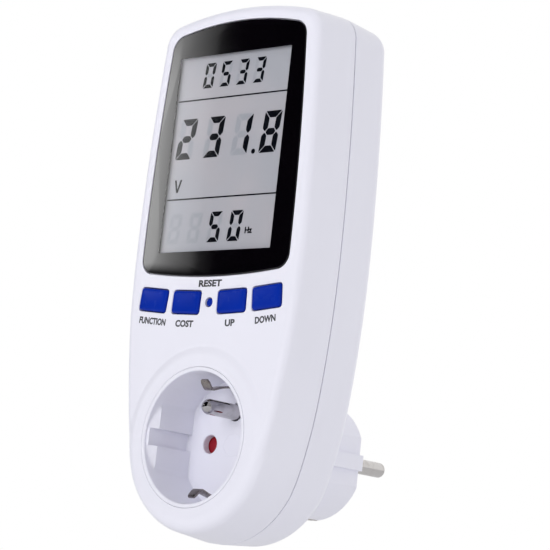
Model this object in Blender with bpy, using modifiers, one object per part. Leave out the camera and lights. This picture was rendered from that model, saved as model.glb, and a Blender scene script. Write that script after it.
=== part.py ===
"""Plug-in power meter: a mains plug behind, a socket and a display in front.

The frame's origin is the centre of the plug's mating face. +Y runs into the wall socket that
the meter is plugged into, +Z is up and +X is to the right of someone who reads the display.
"""

import math

import bmesh
import bpy
from mathutils import Matrix, Vector

MM = 0.001
GAP = 0.3 * MM  # running and seating clearance between two pieces

# ---- case ----
PLUG_LENGTH = 23.5 * MM  # from the case's back to the plug's face
FRONT_DEPTH = 16.7 * MM  # from the case's face to the parting plane
RIM_PROUD = 0.8 * MM  # socket rim above the case's face
HALF_WIDTH = 36.25 * MM
TOP_Z = 134.7 * MM
BOWL_R = 30.3 * MM  # round lower end, centred on the socket
WIDEST_Z = 58.0 * MM
WAIST_Z = 6.0 * MM
WAIST_INSET = 3.65 * MM  # how much narrower the case is beside the socket
SHOULDER_INSET = 2.75 * MM  # and where its top corners begin
CORNER_R = 8.5 * MM
TOP_ARC_R = 118.0 * MM
WALL = 2.4 * MM
SIDE_DRAFT = 0.9 * MM
BOWL_DRAFT = 2.0 * MM
FRONT_FILLET = 2.6 * MM
REAR_DRAFT = 0.7 * MM
REAR_FILLET = 5.0 * MM
SEAM_LAND = 1.5 * MM  # straight part of each shell's side next to the parting plane
RING_R = 26.6 * MM  # raised ring round the socket
RING_EDGE = 1.0 * MM

# ---- socket ----
RECESS_R = 20.0 * MM
RECESS_DEPTH = 17.8 * MM
RECESS_FLAT = 17.25 * MM
GROOVE_HALF = 2.65 * MM
GROOVE_REACH = 19.7 * MM
CUP_WALL = 1.0 * MM
CUP_FLOOR = 2.5 * MM
CUP_FLANGE = 2.5 * MM
FLANGE_THICK = 1.5 * MM
PIN_SPACING = 19.0 * MM
PIN_HOLE_R = 2.85 * MM
EARTH_Z = 10.0 * MM
EARTH_PIN_R = 2.4 * MM
EARTH_PIN_REACH = 14.0 * MM
CLIP_WIDTH = 3.4 * MM
CLIP_THICK = 0.7 * MM
CLIP_Z = 17.4 * MM
CLIP_PEAK_Z = 15.2 * MM
CLIP_TIP_DEPTH = 3.0 * MM
CLIP_PEAK_DEPTH = 5.6 * MM

# ---- shutter and contacts ----
SHUTTER_THICK = 1.8 * MM
SHUTTER_WING_R = 3.6 * MM
SHUTTER_HUB_R = 3.4 * MM
PIVOT_R = 1.5 * MM
SPRING_ROOM = 2.0 * MM
SPRING_WIRE_R = 0.25 * MM
SPRING_TURNS = 2.5
CARRIER_THICK = 2.5 * MM
CONTACT_R = 3.4 * MM
CONTACT_BORE_R = 2.6 * MM
CONTACT_LENGTH = 15.0 * MM
STRAP_THICK = 1.0 * MM
STRAP_HALF_WIDTH = 4.0 * MM
STRAP_ROOM = 3.8 * MM  # from the carrier's back to the strap
STRAP_BACK_ROOM = 0.6 * MM  # from the strap to the case's back wall

# ---- plug ----
PLUG_R = 18.7 * MM
PLUG_FLAT = 17.0 * MM
RIB_HALF = 2.4 * MM
RIB_REACH = 18.55 * MM
PLUG_BORE_R = 16.2 * MM
PLUG_FACE_WALL = 3.2 * MM
PLUG_EDGE = 1.0 * MM
PIN_R = 2.4 * MM
PIN_LENGTH = 19.0 * MM
SLEEVE_R = 3.4 * MM
SLEEVE_BORE_R = 2.6 * MM
INSERT_THICK = 3.5 * MM
INSERT_ROOM = 4.0 * MM  # from the insert to the plug's face wall
SIDE_STRIP_WIDTH = 5.5 * MM
SIDE_STRIP_THICK = 0.8 * MM

# ---- display ----
LENS_MARGIN = 5.6 * MM  # from the case's outline
LENS_TOP_CORNER = 5.0 * MM
LENS_BOTTOM_CORNER = 4.6 * MM
LENS_BOTTOM_Z = 49.2 * MM
LENS_BOTTOM_ARC_R = 230.0 * MM
LENS_THICK = 1.2 * MM
LENS_LEDGE = 2.2 * MM  # width of the seat that the lens lies on
LCD_HALF_WIDTH = 25.0 * MM
LCD_BOTTOM_GAP = 6.4 * MM  # from the lens's lower edge
LCD_TOP_GAP = 8.5 * MM  # from the lens's upper edge
LCD_THICK = 3.6 * MM
LCD_FRAME_WALL = 1.4 * MM
FRAME_CHAMFER = 1.8 * MM  # clears the case's top screw bosses
BACKLIGHT_THICK = 3.3 * MM
ZEBRA_HEIGHT = 1.8 * MM

# ---- keys ----
KEY_XS = (-23.72 * MM, -9.51 * MM, 9.51 * MM, 23.72 * MM)
KEY_ROW_Z = 41.06 * MM
KEY_ARC_R = 248.0 * MM
KEY_WIDTH = 11.5 * MM
KEY_HEIGHT = 7.0 * MM
KEY_CORNER = 0.9 * MM
KEY_PROUD = 0.65 * MM
KEY_FLANGE = 0.8 * MM
STEM_R = 1.6 * MM
STEM_LENGTH = 1.9 * MM
RESET_R = 1.25 * MM
RESET_SUNK = 0.6 * MM
SWITCH_SIZE = 6.2 * MM
SWITCH_HEIGHT = 3.4 * MM
PLUNGER_R = 1.6 * MM
PLUNGER_OUT = 0.7 * MM
PLUNGER_IN = 1.2 * MM

# ---- boards ----
BOARD_THICK = 1.6 * MM
MAIN_BOARD_HALF_WIDTH = 28.0 * MM
MAIN_BOARD_BOTTOM_Z = 26.5 * MM
BOARD_CHAMFER = 3.0 * MM
POWER_BOARD_HALF_WIDTH = 27.0 * MM
POWER_BOARD_BOTTOM_Z = 30.0 * MM
POWER_BOARD_TOP_GAP = 20.0 * MM  # from the top of the case
POWER_BOARD_DEPTH = 6.5 * MM  # from the parting plane

# ---- fasteners ----
CASE_SCREW_LOW = (24.5 * MM, 22.4 * MM)
CASE_SCREW_TOP_GAP = 10.1 * MM  # from the top of the case
CASE_SCREW_TOP_X = 26.0 * MM
SCREW_R = 1.2 * MM
SCREW_HEAD_R = 2.3 * MM
SCREW_HEAD = 1.6 * MM
FRONT_BOSS_R = 2.3 * MM
REAR_BOSS_R = 3.4 * MM
BOSS_FLOOR = 3.0 * MM
BOARD_SCREW = (24.8 * MM, 31.4 * MM)
BOARD_SCREW_R = 1.1 * MM
BOARD_BOSS_R = 2.6 * MM

# ---- stations that follow from the sizes above, counted from the plug's face ----
SOCKET_STACK = (
    RECESS_DEPTH + CUP_FLOOR + GAP + SHUTTER_THICK + GAP + SPRING_ROOM + CARRIER_THICK
    + STRAP_ROOM + STRAP_THICK + STRAP_BACK_ROOM + WALL
)
REAR_Y = -PLUG_LENGTH
RIM_Y = REAR_Y - SOCKET_STACK
FACE_Y = RIM_Y + RIM_PROUD
PARTING_Y = FACE_Y + FRONT_DEPTH
POWER_BOARD_Y = PARTING_Y + POWER_BOARD_DEPTH
INNER_FACE_Y = FACE_Y + WALL
REAR_INNER_Y = REAR_Y - WALL
CUP_R = RECESS_R + CUP_WALL
CUP_BACK_Y = RIM_Y + RECESS_DEPTH + CUP_FLOOR
SHUTTER_Y = CUP_BACK_Y + GAP
CARRIER_Y = SHUTTER_Y + SHUTTER_THICK + GAP + SPRING_ROOM
CARRIER_BACK_Y = CARRIER_Y + CARRIER_THICK
CONTACT_Y = SHUTTER_Y + SHUTTER_THICK + GAP
STRAP_Y = CARRIER_BACK_Y + STRAP_ROOM
LENS_Y = FACE_Y
LCD_Y = LENS_Y + LENS_THICK + GAP
LCD_FRAME_Y = INNER_FACE_Y + GAP
BACKLIGHT_Y = LCD_Y + LCD_THICK + GAP
MAIN_BOARD_Y = BACKLIGHT_Y + BACKLIGHT_THICK + 1.3 * MM
SWITCH_Y = MAIN_BOARD_Y - GAP - SWITCH_HEIGHT
PLUNGER_Y = SWITCH_Y - PLUNGER_OUT
STEM_END_Y = PLUNGER_Y - GAP
KEY_FLANGE_Y = INNER_FACE_Y + GAP
LENS_TOP_Z = TOP_Z - LENS_MARGIN
LCD_BOTTOM_Z = LENS_BOTTOM_Z + LCD_BOTTOM_GAP
LCD_TOP_Z = LENS_TOP_Z - LCD_TOP_GAP
INSERT_Y = -PLUG_FACE_WALL - INSERT_ROOM - INSERT_THICK
PIN_X = PIN_SPACING / 2

AXIS_Y = Matrix.Rotation(-math.pi / 2, 4, "X")  # turns a local Z axis to +Y


# ---------------------------------------------------------------- scene helpers
def clear_scene():
    """Removes every object, and the collections they were in."""
    for obj in list(bpy.data.objects):
        bpy.data.objects.remove(obj, do_unlink=True)
    for collection in list(bpy.data.collections):
        bpy.data.collections.remove(collection)


def new_collection(name):
    """A collection linked to the scene."""
    collection = bpy.data.collections.new(name)
    bpy.context.scene.collection.children.link(collection)
    return collection


def finish_material(name, colour, roughness, metallic=0.0):
    """A Principled material of one finish."""
    material = bpy.data.materials.new(name)
    material.use_nodes = True
    shader = material.node_tree.nodes["Principled BSDF"]
    shader.inputs["Base Color"].default_value = (*colour, 1.0)
    shader.inputs["Roughness"].default_value = roughness
    shader.inputs["Metallic"].default_value = metallic
    return material


clear_scene()
PARTS = new_collection("power_meter")
CUTTERS = new_collection("cutters")
FINISHES = {
    "white_plastic": finish_material("white_plastic", (0.84, 0.85, 0.88), 0.28),
    "blue_plastic": finish_material("blue_plastic", (0.01, 0.04, 0.5), 0.35),
    "red_plastic": finish_material("red_plastic", (0.6, 0.02, 0.03), 0.4),
    "grey_plastic": finish_material("grey_plastic", (0.35, 0.36, 0.38), 0.5),
    "black_plastic": finish_material("black_plastic", (0.03, 0.03, 0.035), 0.5),
    "lens": finish_material("lens", (0.02, 0.02, 0.025), 0.08),
    "lcd_glass": finish_material("lcd_glass", (0.52, 0.53, 0.55), 0.2),
    "diffuser": finish_material("diffuser", (0.8, 0.82, 0.84), 0.5),
    "nickel": finish_material("nickel", (0.66, 0.64, 0.61), 0.25, 1.0),
    "brass": finish_material("brass", (0.72, 0.53, 0.25), 0.3, 1.0),
    "steel": finish_material("steel", (0.55, 0.55, 0.57), 0.35, 1.0),
    "copper": finish_material("copper", (0.72, 0.4, 0.25), 0.3, 1.0),
    "green_board": finish_material("green_board", (0.02, 0.22, 0.09), 0.45),
    "tan_board": finish_material("tan_board", (0.5, 0.38, 0.18), 0.55),
    "rubber": finish_material("rubber", (0.05, 0.05, 0.055), 0.8),
    "yellow_plastic": finish_material("yellow_plastic", (0.75, 0.6, 0.12), 0.45),
    "lead_sleeve": finish_material("lead_sleeve", (0.05, 0.12, 0.4), 0.5),
}


def place(obj, finish, smooth=False):
    """Gives a new object its finish and puts it in the parts collection."""
    obj.data.materials.append(FINISHES[finish])
    if smooth:
        obj.data.shade_smooth()
        obj.data.set_sharp_from_angle(angle=math.radians(35))
    PARTS.objects.link(obj)
    return obj


def as_cutter(obj):
    """Puts an object with the cutters, out of the renders."""
    CUTTERS.objects.link(obj)
    obj.hide_render = True
    obj.display_type = "WIRE"
    return obj


def combine(target, other, operation):
    """Adds an exact Boolean modifier to the target."""
    modifier = target.modifiers.new(f"{operation.lower()}_{other.name}", "BOOLEAN")
    modifier.object = other
    modifier.operation = operation
    modifier.solver = "EXACT"


def cut(target, *cutters):
    """Cuts each cutter out of the target."""
    for cutter in cutters:
        combine(target, as_cutter(cutter), "DIFFERENCE")


def fuse(target, *others):
    """Joins each solid to the target."""
    for other in others:
        combine(target, as_cutter(other), "UNION")


def object_from(bm, name):
    """An unlinked object made from a bmesh, faces outward."""
    bmesh.ops.recalc_face_normals(bm, faces=bm.faces)
    mesh = bpy.data.meshes.new(name)
    bm.to_mesh(mesh)
    bm.free()
    return bpy.data.objects.new(name, mesh)


# ---------------------------------------------------------------- shape helpers
def box(name, size, centre, bevel=0.0):
    """A box of the given size, with an optional bevel on its edges."""
    bm = bmesh.new()
    bmesh.ops.create_cube(bm, size=1.0)
    bmesh.ops.scale(bm, vec=size, verts=bm.verts)
    obj = object_from(bm, name)
    obj.location = centre
    if bevel:
        modifier = obj.modifiers.new("edges", "BEVEL")
        modifier.width = bevel
        modifier.segments = 2
    return obj


def box_between(name, low, high, bevel=0.0):
    """A box given by its lowest and highest corners."""
    size = [h - l for l, h in zip(low, high)]
    centre = [(h + l) / 2 for l, h in zip(low, high)]
    return box(name, size, centre, bevel)


def rod(name, radius, y_from, y_to, x=0.0, z=0.0, segments=24):
    """A cylinder along Y."""
    bm = bmesh.new()
    bmesh.ops.create_cone(
        bm, cap_ends=True, segments=segments, radius1=radius, radius2=radius, depth=y_to - y_from
    )
    obj = object_from(bm, name)
    obj.matrix_world = Matrix.Translation((x, (y_from + y_to) / 2, z)) @ AXIS_Y
    return obj


def turned(name, profile, x=0.0, z=0.0, segments=24, closed=False):
    """A solid turned about an axis along Y.

    The profile's points are (radius, y). They run down the outer side, from the wall end (+Y)
    to the reader's end, and a closed profile comes back up its bore.
    """
    bm = bmesh.new()
    verts = [bm.verts.new((radius, 0.0, y)) for radius, y in profile]
    for first, second in zip(verts, verts[1:]):
        bm.edges.new((first, second))
    if closed:
        bm.edges.new((verts[-1], verts[0]))
    mesh = bpy.data.meshes.new(name)
    bm.to_mesh(mesh)
    bm.free()
    obj = bpy.data.objects.new(name, mesh)
    screw = obj.modifiers.new("turn", "SCREW")
    screw.steps = segments
    screw.render_steps = segments
    screw.use_merge_vertices = True
    screw.merge_threshold = 0.00001
    obj.matrix_world = Matrix.Translation((x, 0.0, z)) @ AXIS_Y
    return obj


def tube(name, radius, bore, y_from, y_to, x=0.0, z=0.0, segments=20):
    """A plain sleeve along Y."""
    profile = [(radius, y_to), (radius, y_from), (bore, y_from), (bore, y_to)]
    return turned(name, profile, x, z, segments, closed=True)


def loft(name, sections, open_start=False):
    """A skin through sections, each a Y station and an outline of (x, z) points.

    The last section is closed by a face. The first one is too, unless open_start is set.
    """
    bm = bmesh.new()
    y, outline = sections[0]
    ring = [bm.verts.new((px, y, pz)) for px, pz in outline]
    edges = [bm.edges.new((ring[i - 1], ring[i])) for i in range(len(ring))]
    if not open_start:
        bm.faces.new(ring)
    for y, outline in sections[1:]:
        extruded = bmesh.ops.extrude_edge_only(bm, edges=edges)["geom"]
        new_edges = [item for item in extruded if isinstance(item, bmesh.types.BMEdge)]
        linked = {}
        for old in ring:
            for edge in old.link_edges:
                other = edge.other_vert(old)
                if other in extruded:
                    linked[old] = other
        ring = [linked[old] for old in ring]
        for vert, (px, pz) in zip(ring, outline):
            vert.co = (px, y, pz)
        edges = [edge for edge in new_edges if all(v in ring for v in edge.verts)]
    bm.faces.new(ring)
    return object_from(bm, name)


def flat_piece(name, outline, low, high):
    """An outline of (x, z) points given thickness along Y."""
    half = (high - low) / 2
    bm = bmesh.new()
    ring = [bm.verts.new((u, -half, v)) for u, v in outline]
    thickness = Vector((0, 2 * half, 0))
    face = bmesh.ops.contextual_create(bm, geom=ring)["faces"]
    extruded = bmesh.ops.extrude_face_region(bm, geom=face)["geom"]
    moved = [item for item in extruded if isinstance(item, bmesh.types.BMVert)]
    bmesh.ops.translate(bm, verts=moved, vec=thickness)
    obj = object_from(bm, name)
    obj.location = (0, (low + high) / 2, 0)
    return obj


def wire(name, points, radius, resolution=2):
    """A round wire through points, with filled ends."""
    curve = bpy.data.curves.new(name, "CURVE")
    curve.dimensions = "3D"
    curve.bevel_depth = radius
    curve.bevel_resolution = resolution
    curve.use_fill_caps = True
    spline = curve.splines.new("POLY")
    spline.points.add(len(points) - 1)
    for point, co in zip(spline.points, points):
        point.co = (*co, 1.0)
    return bpy.data.objects.new(name, curve)


# ---------------------------------------------------------------- outlines
def arc(cx, cz, radius, start, end, steps):
    """Points of an arc, both ends included; angles in degrees from +X."""
    angles = [math.radians(start + (end - start) * i / steps) for i in range(steps + 1)]
    return [(cx + radius * math.cos(a), cz + radius * math.sin(a)) for a in angles]


def mirrored(right_half):
    """A closed outline from its right half, which runs from the bottom to the top."""
    left_half = [(-px, pz) for px, pz in reversed(right_half) if abs(px) > 1e-9]
    return right_half + left_half


def shoulder_z():
    """The height where the case's sides meet its top corners."""
    return TOP_Z - CORNER_R - 3.6 * MM


def half_width_at(z):
    """The case's half width at a height beside or above the socket."""
    if z >= WIDEST_Z:
        return HALF_WIDTH - SHOULDER_INSET * ((z - WIDEST_Z) / (shoulder_z() - WIDEST_Z)) ** 2
    return HALF_WIDTH - WAIST_INSET * ((WIDEST_Z - z) / (WIDEST_Z - WAIST_Z)) ** 2


def top_corner(margin, radius):
    """Centre and end angle of the corner arc that joins a side to the top arc."""
    arc_r = TOP_ARC_R - margin
    arc_z = TOP_Z - TOP_ARC_R
    cz = shoulder_z()
    for _ in range(4):
        cx = half_width_at(cz) - margin - radius
        cz = arc_z + math.sqrt((arc_r - radius) ** 2 - cx**2)
    return cx, cz, math.degrees(math.atan2(cz - arc_z, cx))


def top_points(margin, radius):
    """The corner arc and the right half of the top arc."""
    cx, cz, end = top_corner(margin, radius)
    corner = arc(cx, cz, radius, 0, end, 5)
    crown = arc(0, TOP_Z - TOP_ARC_R, TOP_ARC_R - margin, end, 90, 4)
    return corner[:-1] + [(px if abs(px) > 1e-7 else 0.0, pz) for px, pz in crown]


def case_outline(side_inset=0.0, bowl_inset=0.0):
    """The case seen from the front, drawn in by one amount at its sides and one at its bowl."""
    bowl_end = -13.0
    right = arc(0, 0, BOWL_R, -90, bowl_end, 9)
    right[0] = (0.0, -BOWL_R)
    corner_z = top_corner(0, CORNER_R)[1]
    steps = 11
    for i in range(steps):
        z = WAIST_Z + (corner_z - WAIST_Z) * i / steps
        right.append((half_width_at(z), z))
    right += top_points(0, CORNER_R)
    points = mirrored(right)
    drawn_in = []
    for i, (px, pz) in enumerate(points):
        before, after = Vector(points[i - 1]), Vector(points[(i + 1) % len(points)])
        along = (after - before).normalized()
        inward = Vector((-along.y, along.x))
        blend = min(max((pz - WAIST_Z) / (KEY_ROW_Z - WAIST_Z), 0.0), 1.0)
        weight = 1 - blend * blend * (3 - 2 * blend)
        inset = side_inset + (bowl_inset - side_inset) * weight
        drawn_in.append((px + inward.x * inset, pz + inward.y * inset))
    return drawn_in


def lens_outline(grow=0.0):
    """The display lens seen from the front, grown or drawn in by an amount."""
    margin = LENS_MARGIN - grow
    corner = LENS_BOTTOM_CORNER + grow
    bottom_r = LENS_BOTTOM_ARC_R + grow
    arc_z = LENS_BOTTOM_Z + LENS_BOTTOM_ARC_R
    cz = LENS_BOTTOM_Z
    for _ in range(4):
        cx = half_width_at(cz) - margin - corner
        cz = arc_z - math.sqrt((bottom_r - corner) ** 2 - cx**2)
    start = math.degrees(math.atan2(cz - arc_z, cx))
    right = arc(0, arc_z, bottom_r, -90, start, 4)
    right[0] = (0.0, arc_z - bottom_r)
    right += arc(cx, cz, corner, start, 0, 5)[1:]
    top_z = top_corner(margin, LENS_TOP_CORNER + grow)[1]
    for i in range(1, 7):
        z = cz + (top_z - cz) * i / 7
        right.append((half_width_at(z) - margin, z))
    return mirrored(right + top_points(margin, LENS_TOP_CORNER + grow))


def coupler_outline(radius, flat, key_half, key_reach):
    """The section of a plug or of its recess: round, with a flat and a key on each side."""
    flat_angle = math.degrees(math.acos(flat / radius))
    key_x = min(key_reach, math.sqrt(radius**2 - key_half**2))
    right_top = [(key_x, key_half), (flat, key_half)] + arc(0, 0, radius, flat_angle, 90, 8)
    right_top[-1] = (0.0, radius)
    right_bottom = [(px, -pz) for px, pz in reversed(right_top)]
    return mirrored(right_bottom + right_top)


def chamfered(half_width, half_height, chamfer):
    """A rectangle about the origin with chamfered corners."""
    w, h, c = half_width, half_height, chamfer
    return [
        (w - c, -h), (w, -h + c), (w, h - c), (w - c, h),
        (c - w, h), (-w, h - c), (-w, c - h), (c - w, -h),
    ]


def chamfered_between(half_width, bottom, top, chamfer):
    """A chamfered rectangle from a bottom to a top height."""
    middle = (bottom + top) / 2
    return [(px, pz + middle) for px, pz in chamfered(half_width, (top - bottom) / 2, chamfer)]


# ---------------------------------------------------------------- places
def key_place(x):
    """Height and tilt of a key on the row's arc."""
    return KEY_ROW_Z + x * x / (2 * KEY_ARC_R), -x / KEY_ARC_R


def case_screw_places():
    """The four case screws, left and right, low and high."""
    low_x, low_z = CASE_SCREW_LOW
    high_z = TOP_Z - CASE_SCREW_TOP_GAP
    return [(-low_x, low_z), (low_x, low_z), (-CASE_SCREW_TOP_X, high_z), (CASE_SCREW_TOP_X, high_z)]


def post_places():
    """The rear shell's posts behind the power board."""
    x = POWER_BOARD_HALF_WIDTH - 3 * MM
    top = TOP_Z - POWER_BOARD_TOP_GAP - 5 * MM
    return [(side * x, z) for side in (-1, 1) for z in (POWER_BOARD_BOTTOM_Z + 5 * MM, top)]


# ---------------------------------------------------------------- case
def skin_sections(parting_y, face_y, side_draft, bowl_draft, fillet, steps):
    """Sections from the parting plane to a face whose edge is rounded."""
    direction = 1 if face_y > parting_y else -1
    sections = [(parting_y, case_outline()), (parting_y + direction * SEAM_LAND, case_outline())]
    for i in range(steps + 1):
        angle = math.pi / 2 * i / steps
        drawn = fillet * (1 - math.cos(angle))
        y = face_y - direction * fillet * (1 - math.sin(angle))
        sections.append((y, case_outline(side_draft + drawn, bowl_draft + drawn)))
    return sections


def shell(name, sections):
    """A case half: the skin through its sections, thickened inward."""
    obj = loft(name, sections, open_start=True)
    solidify = obj.modifiers.new("wall", "SOLIDIFY")
    solidify.thickness = WALL
    solidify.offset = -1
    solidify.use_even_offset = True
    return obj


def make_front_shell():
    """The front half, with its ring, its openings and its bosses."""
    parting = PARTING_Y - GAP / 2
    sections = skin_sections(parting, FACE_Y, SIDE_DRAFT, BOWL_DRAFT, FRONT_FILLET, 4)
    obj = shell("front_shell", sections)
    ring_back = FACE_Y + WALL / 2
    edge = [
        (RING_R - RING_EDGE * (1 - math.cos(a)), RIM_Y + RING_EDGE * (1 - math.sin(a)))
        for a in (0, math.pi / 4, math.pi / 2)
    ]
    profile = [(0, ring_back), (RING_R, ring_back), *edge, (0, RIM_Y)]
    fuse(obj, turned("ring", profile, segments=48))
    for i, (x, z) in enumerate(case_screw_places()):
        boss_end = parting - GAP
        fuse(obj, rod(f"front_boss_{i}", FRONT_BOSS_R, FACE_Y + WALL / 2, boss_end, x, z, 20))
    board_x, board_z = BOARD_SCREW
    for side in (-1, 1):
        boss = rod(
            f"board_boss_{side}", BOARD_BOSS_R, FACE_Y + WALL / 2, MAIN_BOARD_Y - GAP,
            side * board_x, board_z, 16,
        )
        fuse(obj, boss)
    outside = RIM_Y - MM
    cut(
        obj,
        flat_piece("lens_seat", lens_outline(GAP), outside, FACE_Y + LENS_THICK + GAP),
        flat_piece("lens_window", lens_outline(-LENS_LEDGE), outside, INNER_FACE_Y + MM),
        rod("socket_hole", CUP_R + GAP, outside, INNER_FACE_Y + MM, segments=52),
        rod("reset_hole", RESET_R + GAP, outside, INNER_FACE_Y + MM, 0, KEY_ROW_Z, 20),
    )
    for i, x in enumerate(KEY_XS):
        z, tilt = key_place(x)
        outline = chamfered(KEY_WIDTH / 2 + GAP, KEY_HEIGHT / 2 + GAP, KEY_CORNER)
        hole = flat_piece(f"key_hole_{i}", outline, outside, INNER_FACE_Y + MM)
        hole.location.x, hole.location.z = x, z
        hole.rotation_euler.y = tilt
        cut(obj, hole)
    bore_end = INNER_FACE_Y + 3 * MM
    for i, (x, z) in enumerate(case_screw_places()):
        cut(obj, rod(f"boss_bore_{i}", SCREW_R + GAP, bore_end, PARTING_Y, x, z, 12))
    for side in (-1, 1):
        bore = rod(
            f"board_bore_{side}", BOARD_SCREW_R + GAP, INNER_FACE_Y + MM, MAIN_BOARD_Y,
            side * board_x, board_z, 12,
        )
        cut(obj, bore)
    place(obj, "white_plastic")


def make_rear_shell():
    """The rear half, with the plug body moulded on, hollow for the contacts."""
    parting = PARTING_Y + GAP / 2
    sections = skin_sections(parting, REAR_Y, REAR_DRAFT, REAR_DRAFT, REAR_FILLET, 5)
    obj = shell("rear_shell", sections)

    def plug_section(y, drawn):
        return y, coupler_outline(
            PLUG_R - drawn, PLUG_FLAT - drawn, RIB_HALF, RIB_REACH - drawn
        )

    plug = loft(
        "plug_body",
        [
            plug_section(REAR_Y - WALL / 2, 0),
            plug_section(-PLUG_EDGE, 0),
            plug_section(-PLUG_EDGE * 0.3, PLUG_EDGE * 0.3),
            plug_section(0, PLUG_EDGE),
        ],
    )
    fuse(obj, plug)
    for i, (x, z) in enumerate(case_screw_places()):
        fuse(obj, rod(f"rear_boss_{i}", REAR_BOSS_R, parting + GAP, REAR_Y - WALL / 2, x, z, 20))
    for i, (x, z) in enumerate(post_places()):
        post_end = POWER_BOARD_Y + BOARD_THICK + GAP
        fuse(obj, rod(f"board_post_{i}", 2.2 * MM, post_end, REAR_Y - WALL / 2, x, z, 12))
    for side in (-1, 1):
        post = rod(
            f"carrier_post_{side}", 1.6 * MM, CARRIER_BACK_Y + GAP, REAR_Y - WALL / 2,
            side * (CUP_R - 1.7 * MM), 0, 12,
        )
        fuse(obj, post)
    cut(
        obj,
        rod("plug_bore", PLUG_BORE_R, REAR_INNER_Y - MM, -PLUG_FACE_WALL, segments=40),
        rod("sleeve_hole", SLEEVE_R + GAP, -PLUG_FACE_WALL - MM, MM, 0, EARTH_Z, 20),
    )
    for side in (-1, 1):
        cut(obj, rod(f"pin_hole_{side}", PIN_R + GAP, -PLUG_FACE_WALL - MM, MM, side * PIN_X, 0, 20))
        strip_in = PLUG_R - SIDE_STRIP_THICK - GAP
        low, high = sorted((side * strip_in, side * (PLUG_R + 0.5 * MM)))
        half = SIDE_STRIP_WIDTH / 2 + GAP
        cut(
            obj,
            box_between(f"strip_slot_{side}", (-half, REAR_INNER_Y - MM, low), (half, -PLUG_EDGE, high)),
        )
    counterbore_y = parting + BOSS_FLOOR
    for i, (x, z) in enumerate(case_screw_places()):
        cut(
            obj,
            rod(f"screw_hole_{i}", SCREW_R + GAP, parting - MM, counterbore_y + MM, x, z, 12),
            rod(f"counterbore_{i}", SCREW_HEAD_R + GAP, counterbore_y, REAR_Y + MM, x, z, 20),
        )
    place(obj, "white_plastic")


def make_case_screws():
    """Four screws, heads deep in the rear shell's counterbores."""
    head_y = PARTING_Y + GAP / 2 + BOSS_FLOOR + GAP
    tip_y = INNER_FACE_Y + 5 * MM
    for i, (x, z) in enumerate(case_screw_places(), start=1):
        profile = [
            (0, head_y + SCREW_HEAD), (SCREW_HEAD_R * 0.6, head_y + SCREW_HEAD),
            (SCREW_HEAD_R, head_y + SCREW_HEAD * 0.6), (SCREW_HEAD_R, head_y),
            (SCREW_R, head_y), (SCREW_R, tip_y + MM), (0, tip_y),
        ]
        place(turned(f"case_screw_{i}", profile, x, z, 12), "steel", smooth=True)


# ---------------------------------------------------------------- socket
def make_socket_cup():
    """The moulded cup that a plug goes into, with its keys, grooves and holes."""
    flange_y = INNER_FACE_Y + GAP
    flange_r = CUP_R + CUP_FLANGE
    profile = [
        (0, CUP_BACK_Y), (CUP_R, CUP_BACK_Y), (CUP_R, flange_y + FLANGE_THICK),
        (flange_r, flange_y + FLANGE_THICK), (flange_r, flange_y), (CUP_R, flange_y),
        (CUP_R, RIM_Y + GAP), (CUP_R - GAP, RIM_Y), (0, RIM_Y),
    ]
    obj = turned("socket_cup", profile, segments=48)
    floor_y = RIM_Y + RECESS_DEPTH
    section = coupler_outline(RECESS_R, RECESS_FLAT, GROOVE_HALF, GROOVE_REACH)
    cut(obj, flat_piece("recess", section, RIM_Y - MM, floor_y))
    behind = CUP_BACK_Y + MM
    cut(obj, rod("earth_hole", EARTH_PIN_R + GAP, floor_y - MM, behind, 0, EARTH_Z, 20))
    for side in (-1, 1):
        cut(obj, rod(f"inlet_{side}", PIN_HOLE_R, floor_y - MM, behind, side * PIN_X, 0, 20))
        cut(obj, clip_slot(f"cup_clip_slot_{side}", side, floor_y - 2 * MM, behind))
    place(obj, "white_plastic")


def clip_slot(name, side, y_from, y_to, reach=CLIP_Z + 1.3 * MM):
    """A cutter that leaves an earth clip room to flex outward."""
    half = CLIP_WIDTH / 2 + GAP
    low, high = sorted((side * (CLIP_Z - 1.0 * MM), side * reach))
    return box_between(name, (-half, y_from, low), (half, y_to, high))


def make_shutter():
    """A two-winged shutter that covers both inlets and turns on the socket's axis."""
    reach = 80.0
    right = arc(PIN_X, 0, SHUTTER_WING_R, -reach, reach, 8)
    top = arc(0, 0, SHUTTER_HUB_R, 62, 118, 4)
    left = [(-px, -pz) for px, pz in right]
    bottom = [(-px, -pz) for px, pz in top]
    obj = flat_piece("shutter", right + top + left + bottom, SHUTTER_Y, SHUTTER_Y + SHUTTER_THICK)
    cut(obj, rod("shutter_bore", PIVOT_R + GAP, SHUTTER_Y - MM, SHUTTER_Y + SHUTTER_THICK + MM))
    place(obj, "red_plastic")


def make_shutter_pivot():
    """The headed pin that the shutter turns on, held by the carrier."""
    head_y = CARRIER_BACK_Y + GAP
    profile = [
        (0, head_y + 1.2 * MM), (PIVOT_R * 1.8, head_y + 1.2 * MM), (PIVOT_R * 1.8, head_y),
        (PIVOT_R, head_y), (PIVOT_R, SHUTTER_Y), (0, SHUTTER_Y),
    ]
    place(turned("shutter_pivot", profile, segments=16), "steel", smooth=True)


def make_shutter_spring():
    """The coil that returns the shutter, round its pivot."""
    coil_r = PIVOT_R + GAP + 2 * SPRING_WIRE_R + 0.1 * MM
    start = SHUTTER_Y + SHUTTER_THICK + GAP + SPRING_WIRE_R
    length = SPRING_ROOM - 2 * SPRING_WIRE_R - GAP
    steps = int(14 * SPRING_TURNS)
    points = []
    for i in range(steps + 1):
        angle = 2 * math.pi * SPRING_TURNS * i / steps
        points.append((coil_r * math.cos(angle), start + length * i / steps, coil_r * math.sin(angle)))
    place(wire("shutter_spring", points, SPRING_WIRE_R), "steel")


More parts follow.
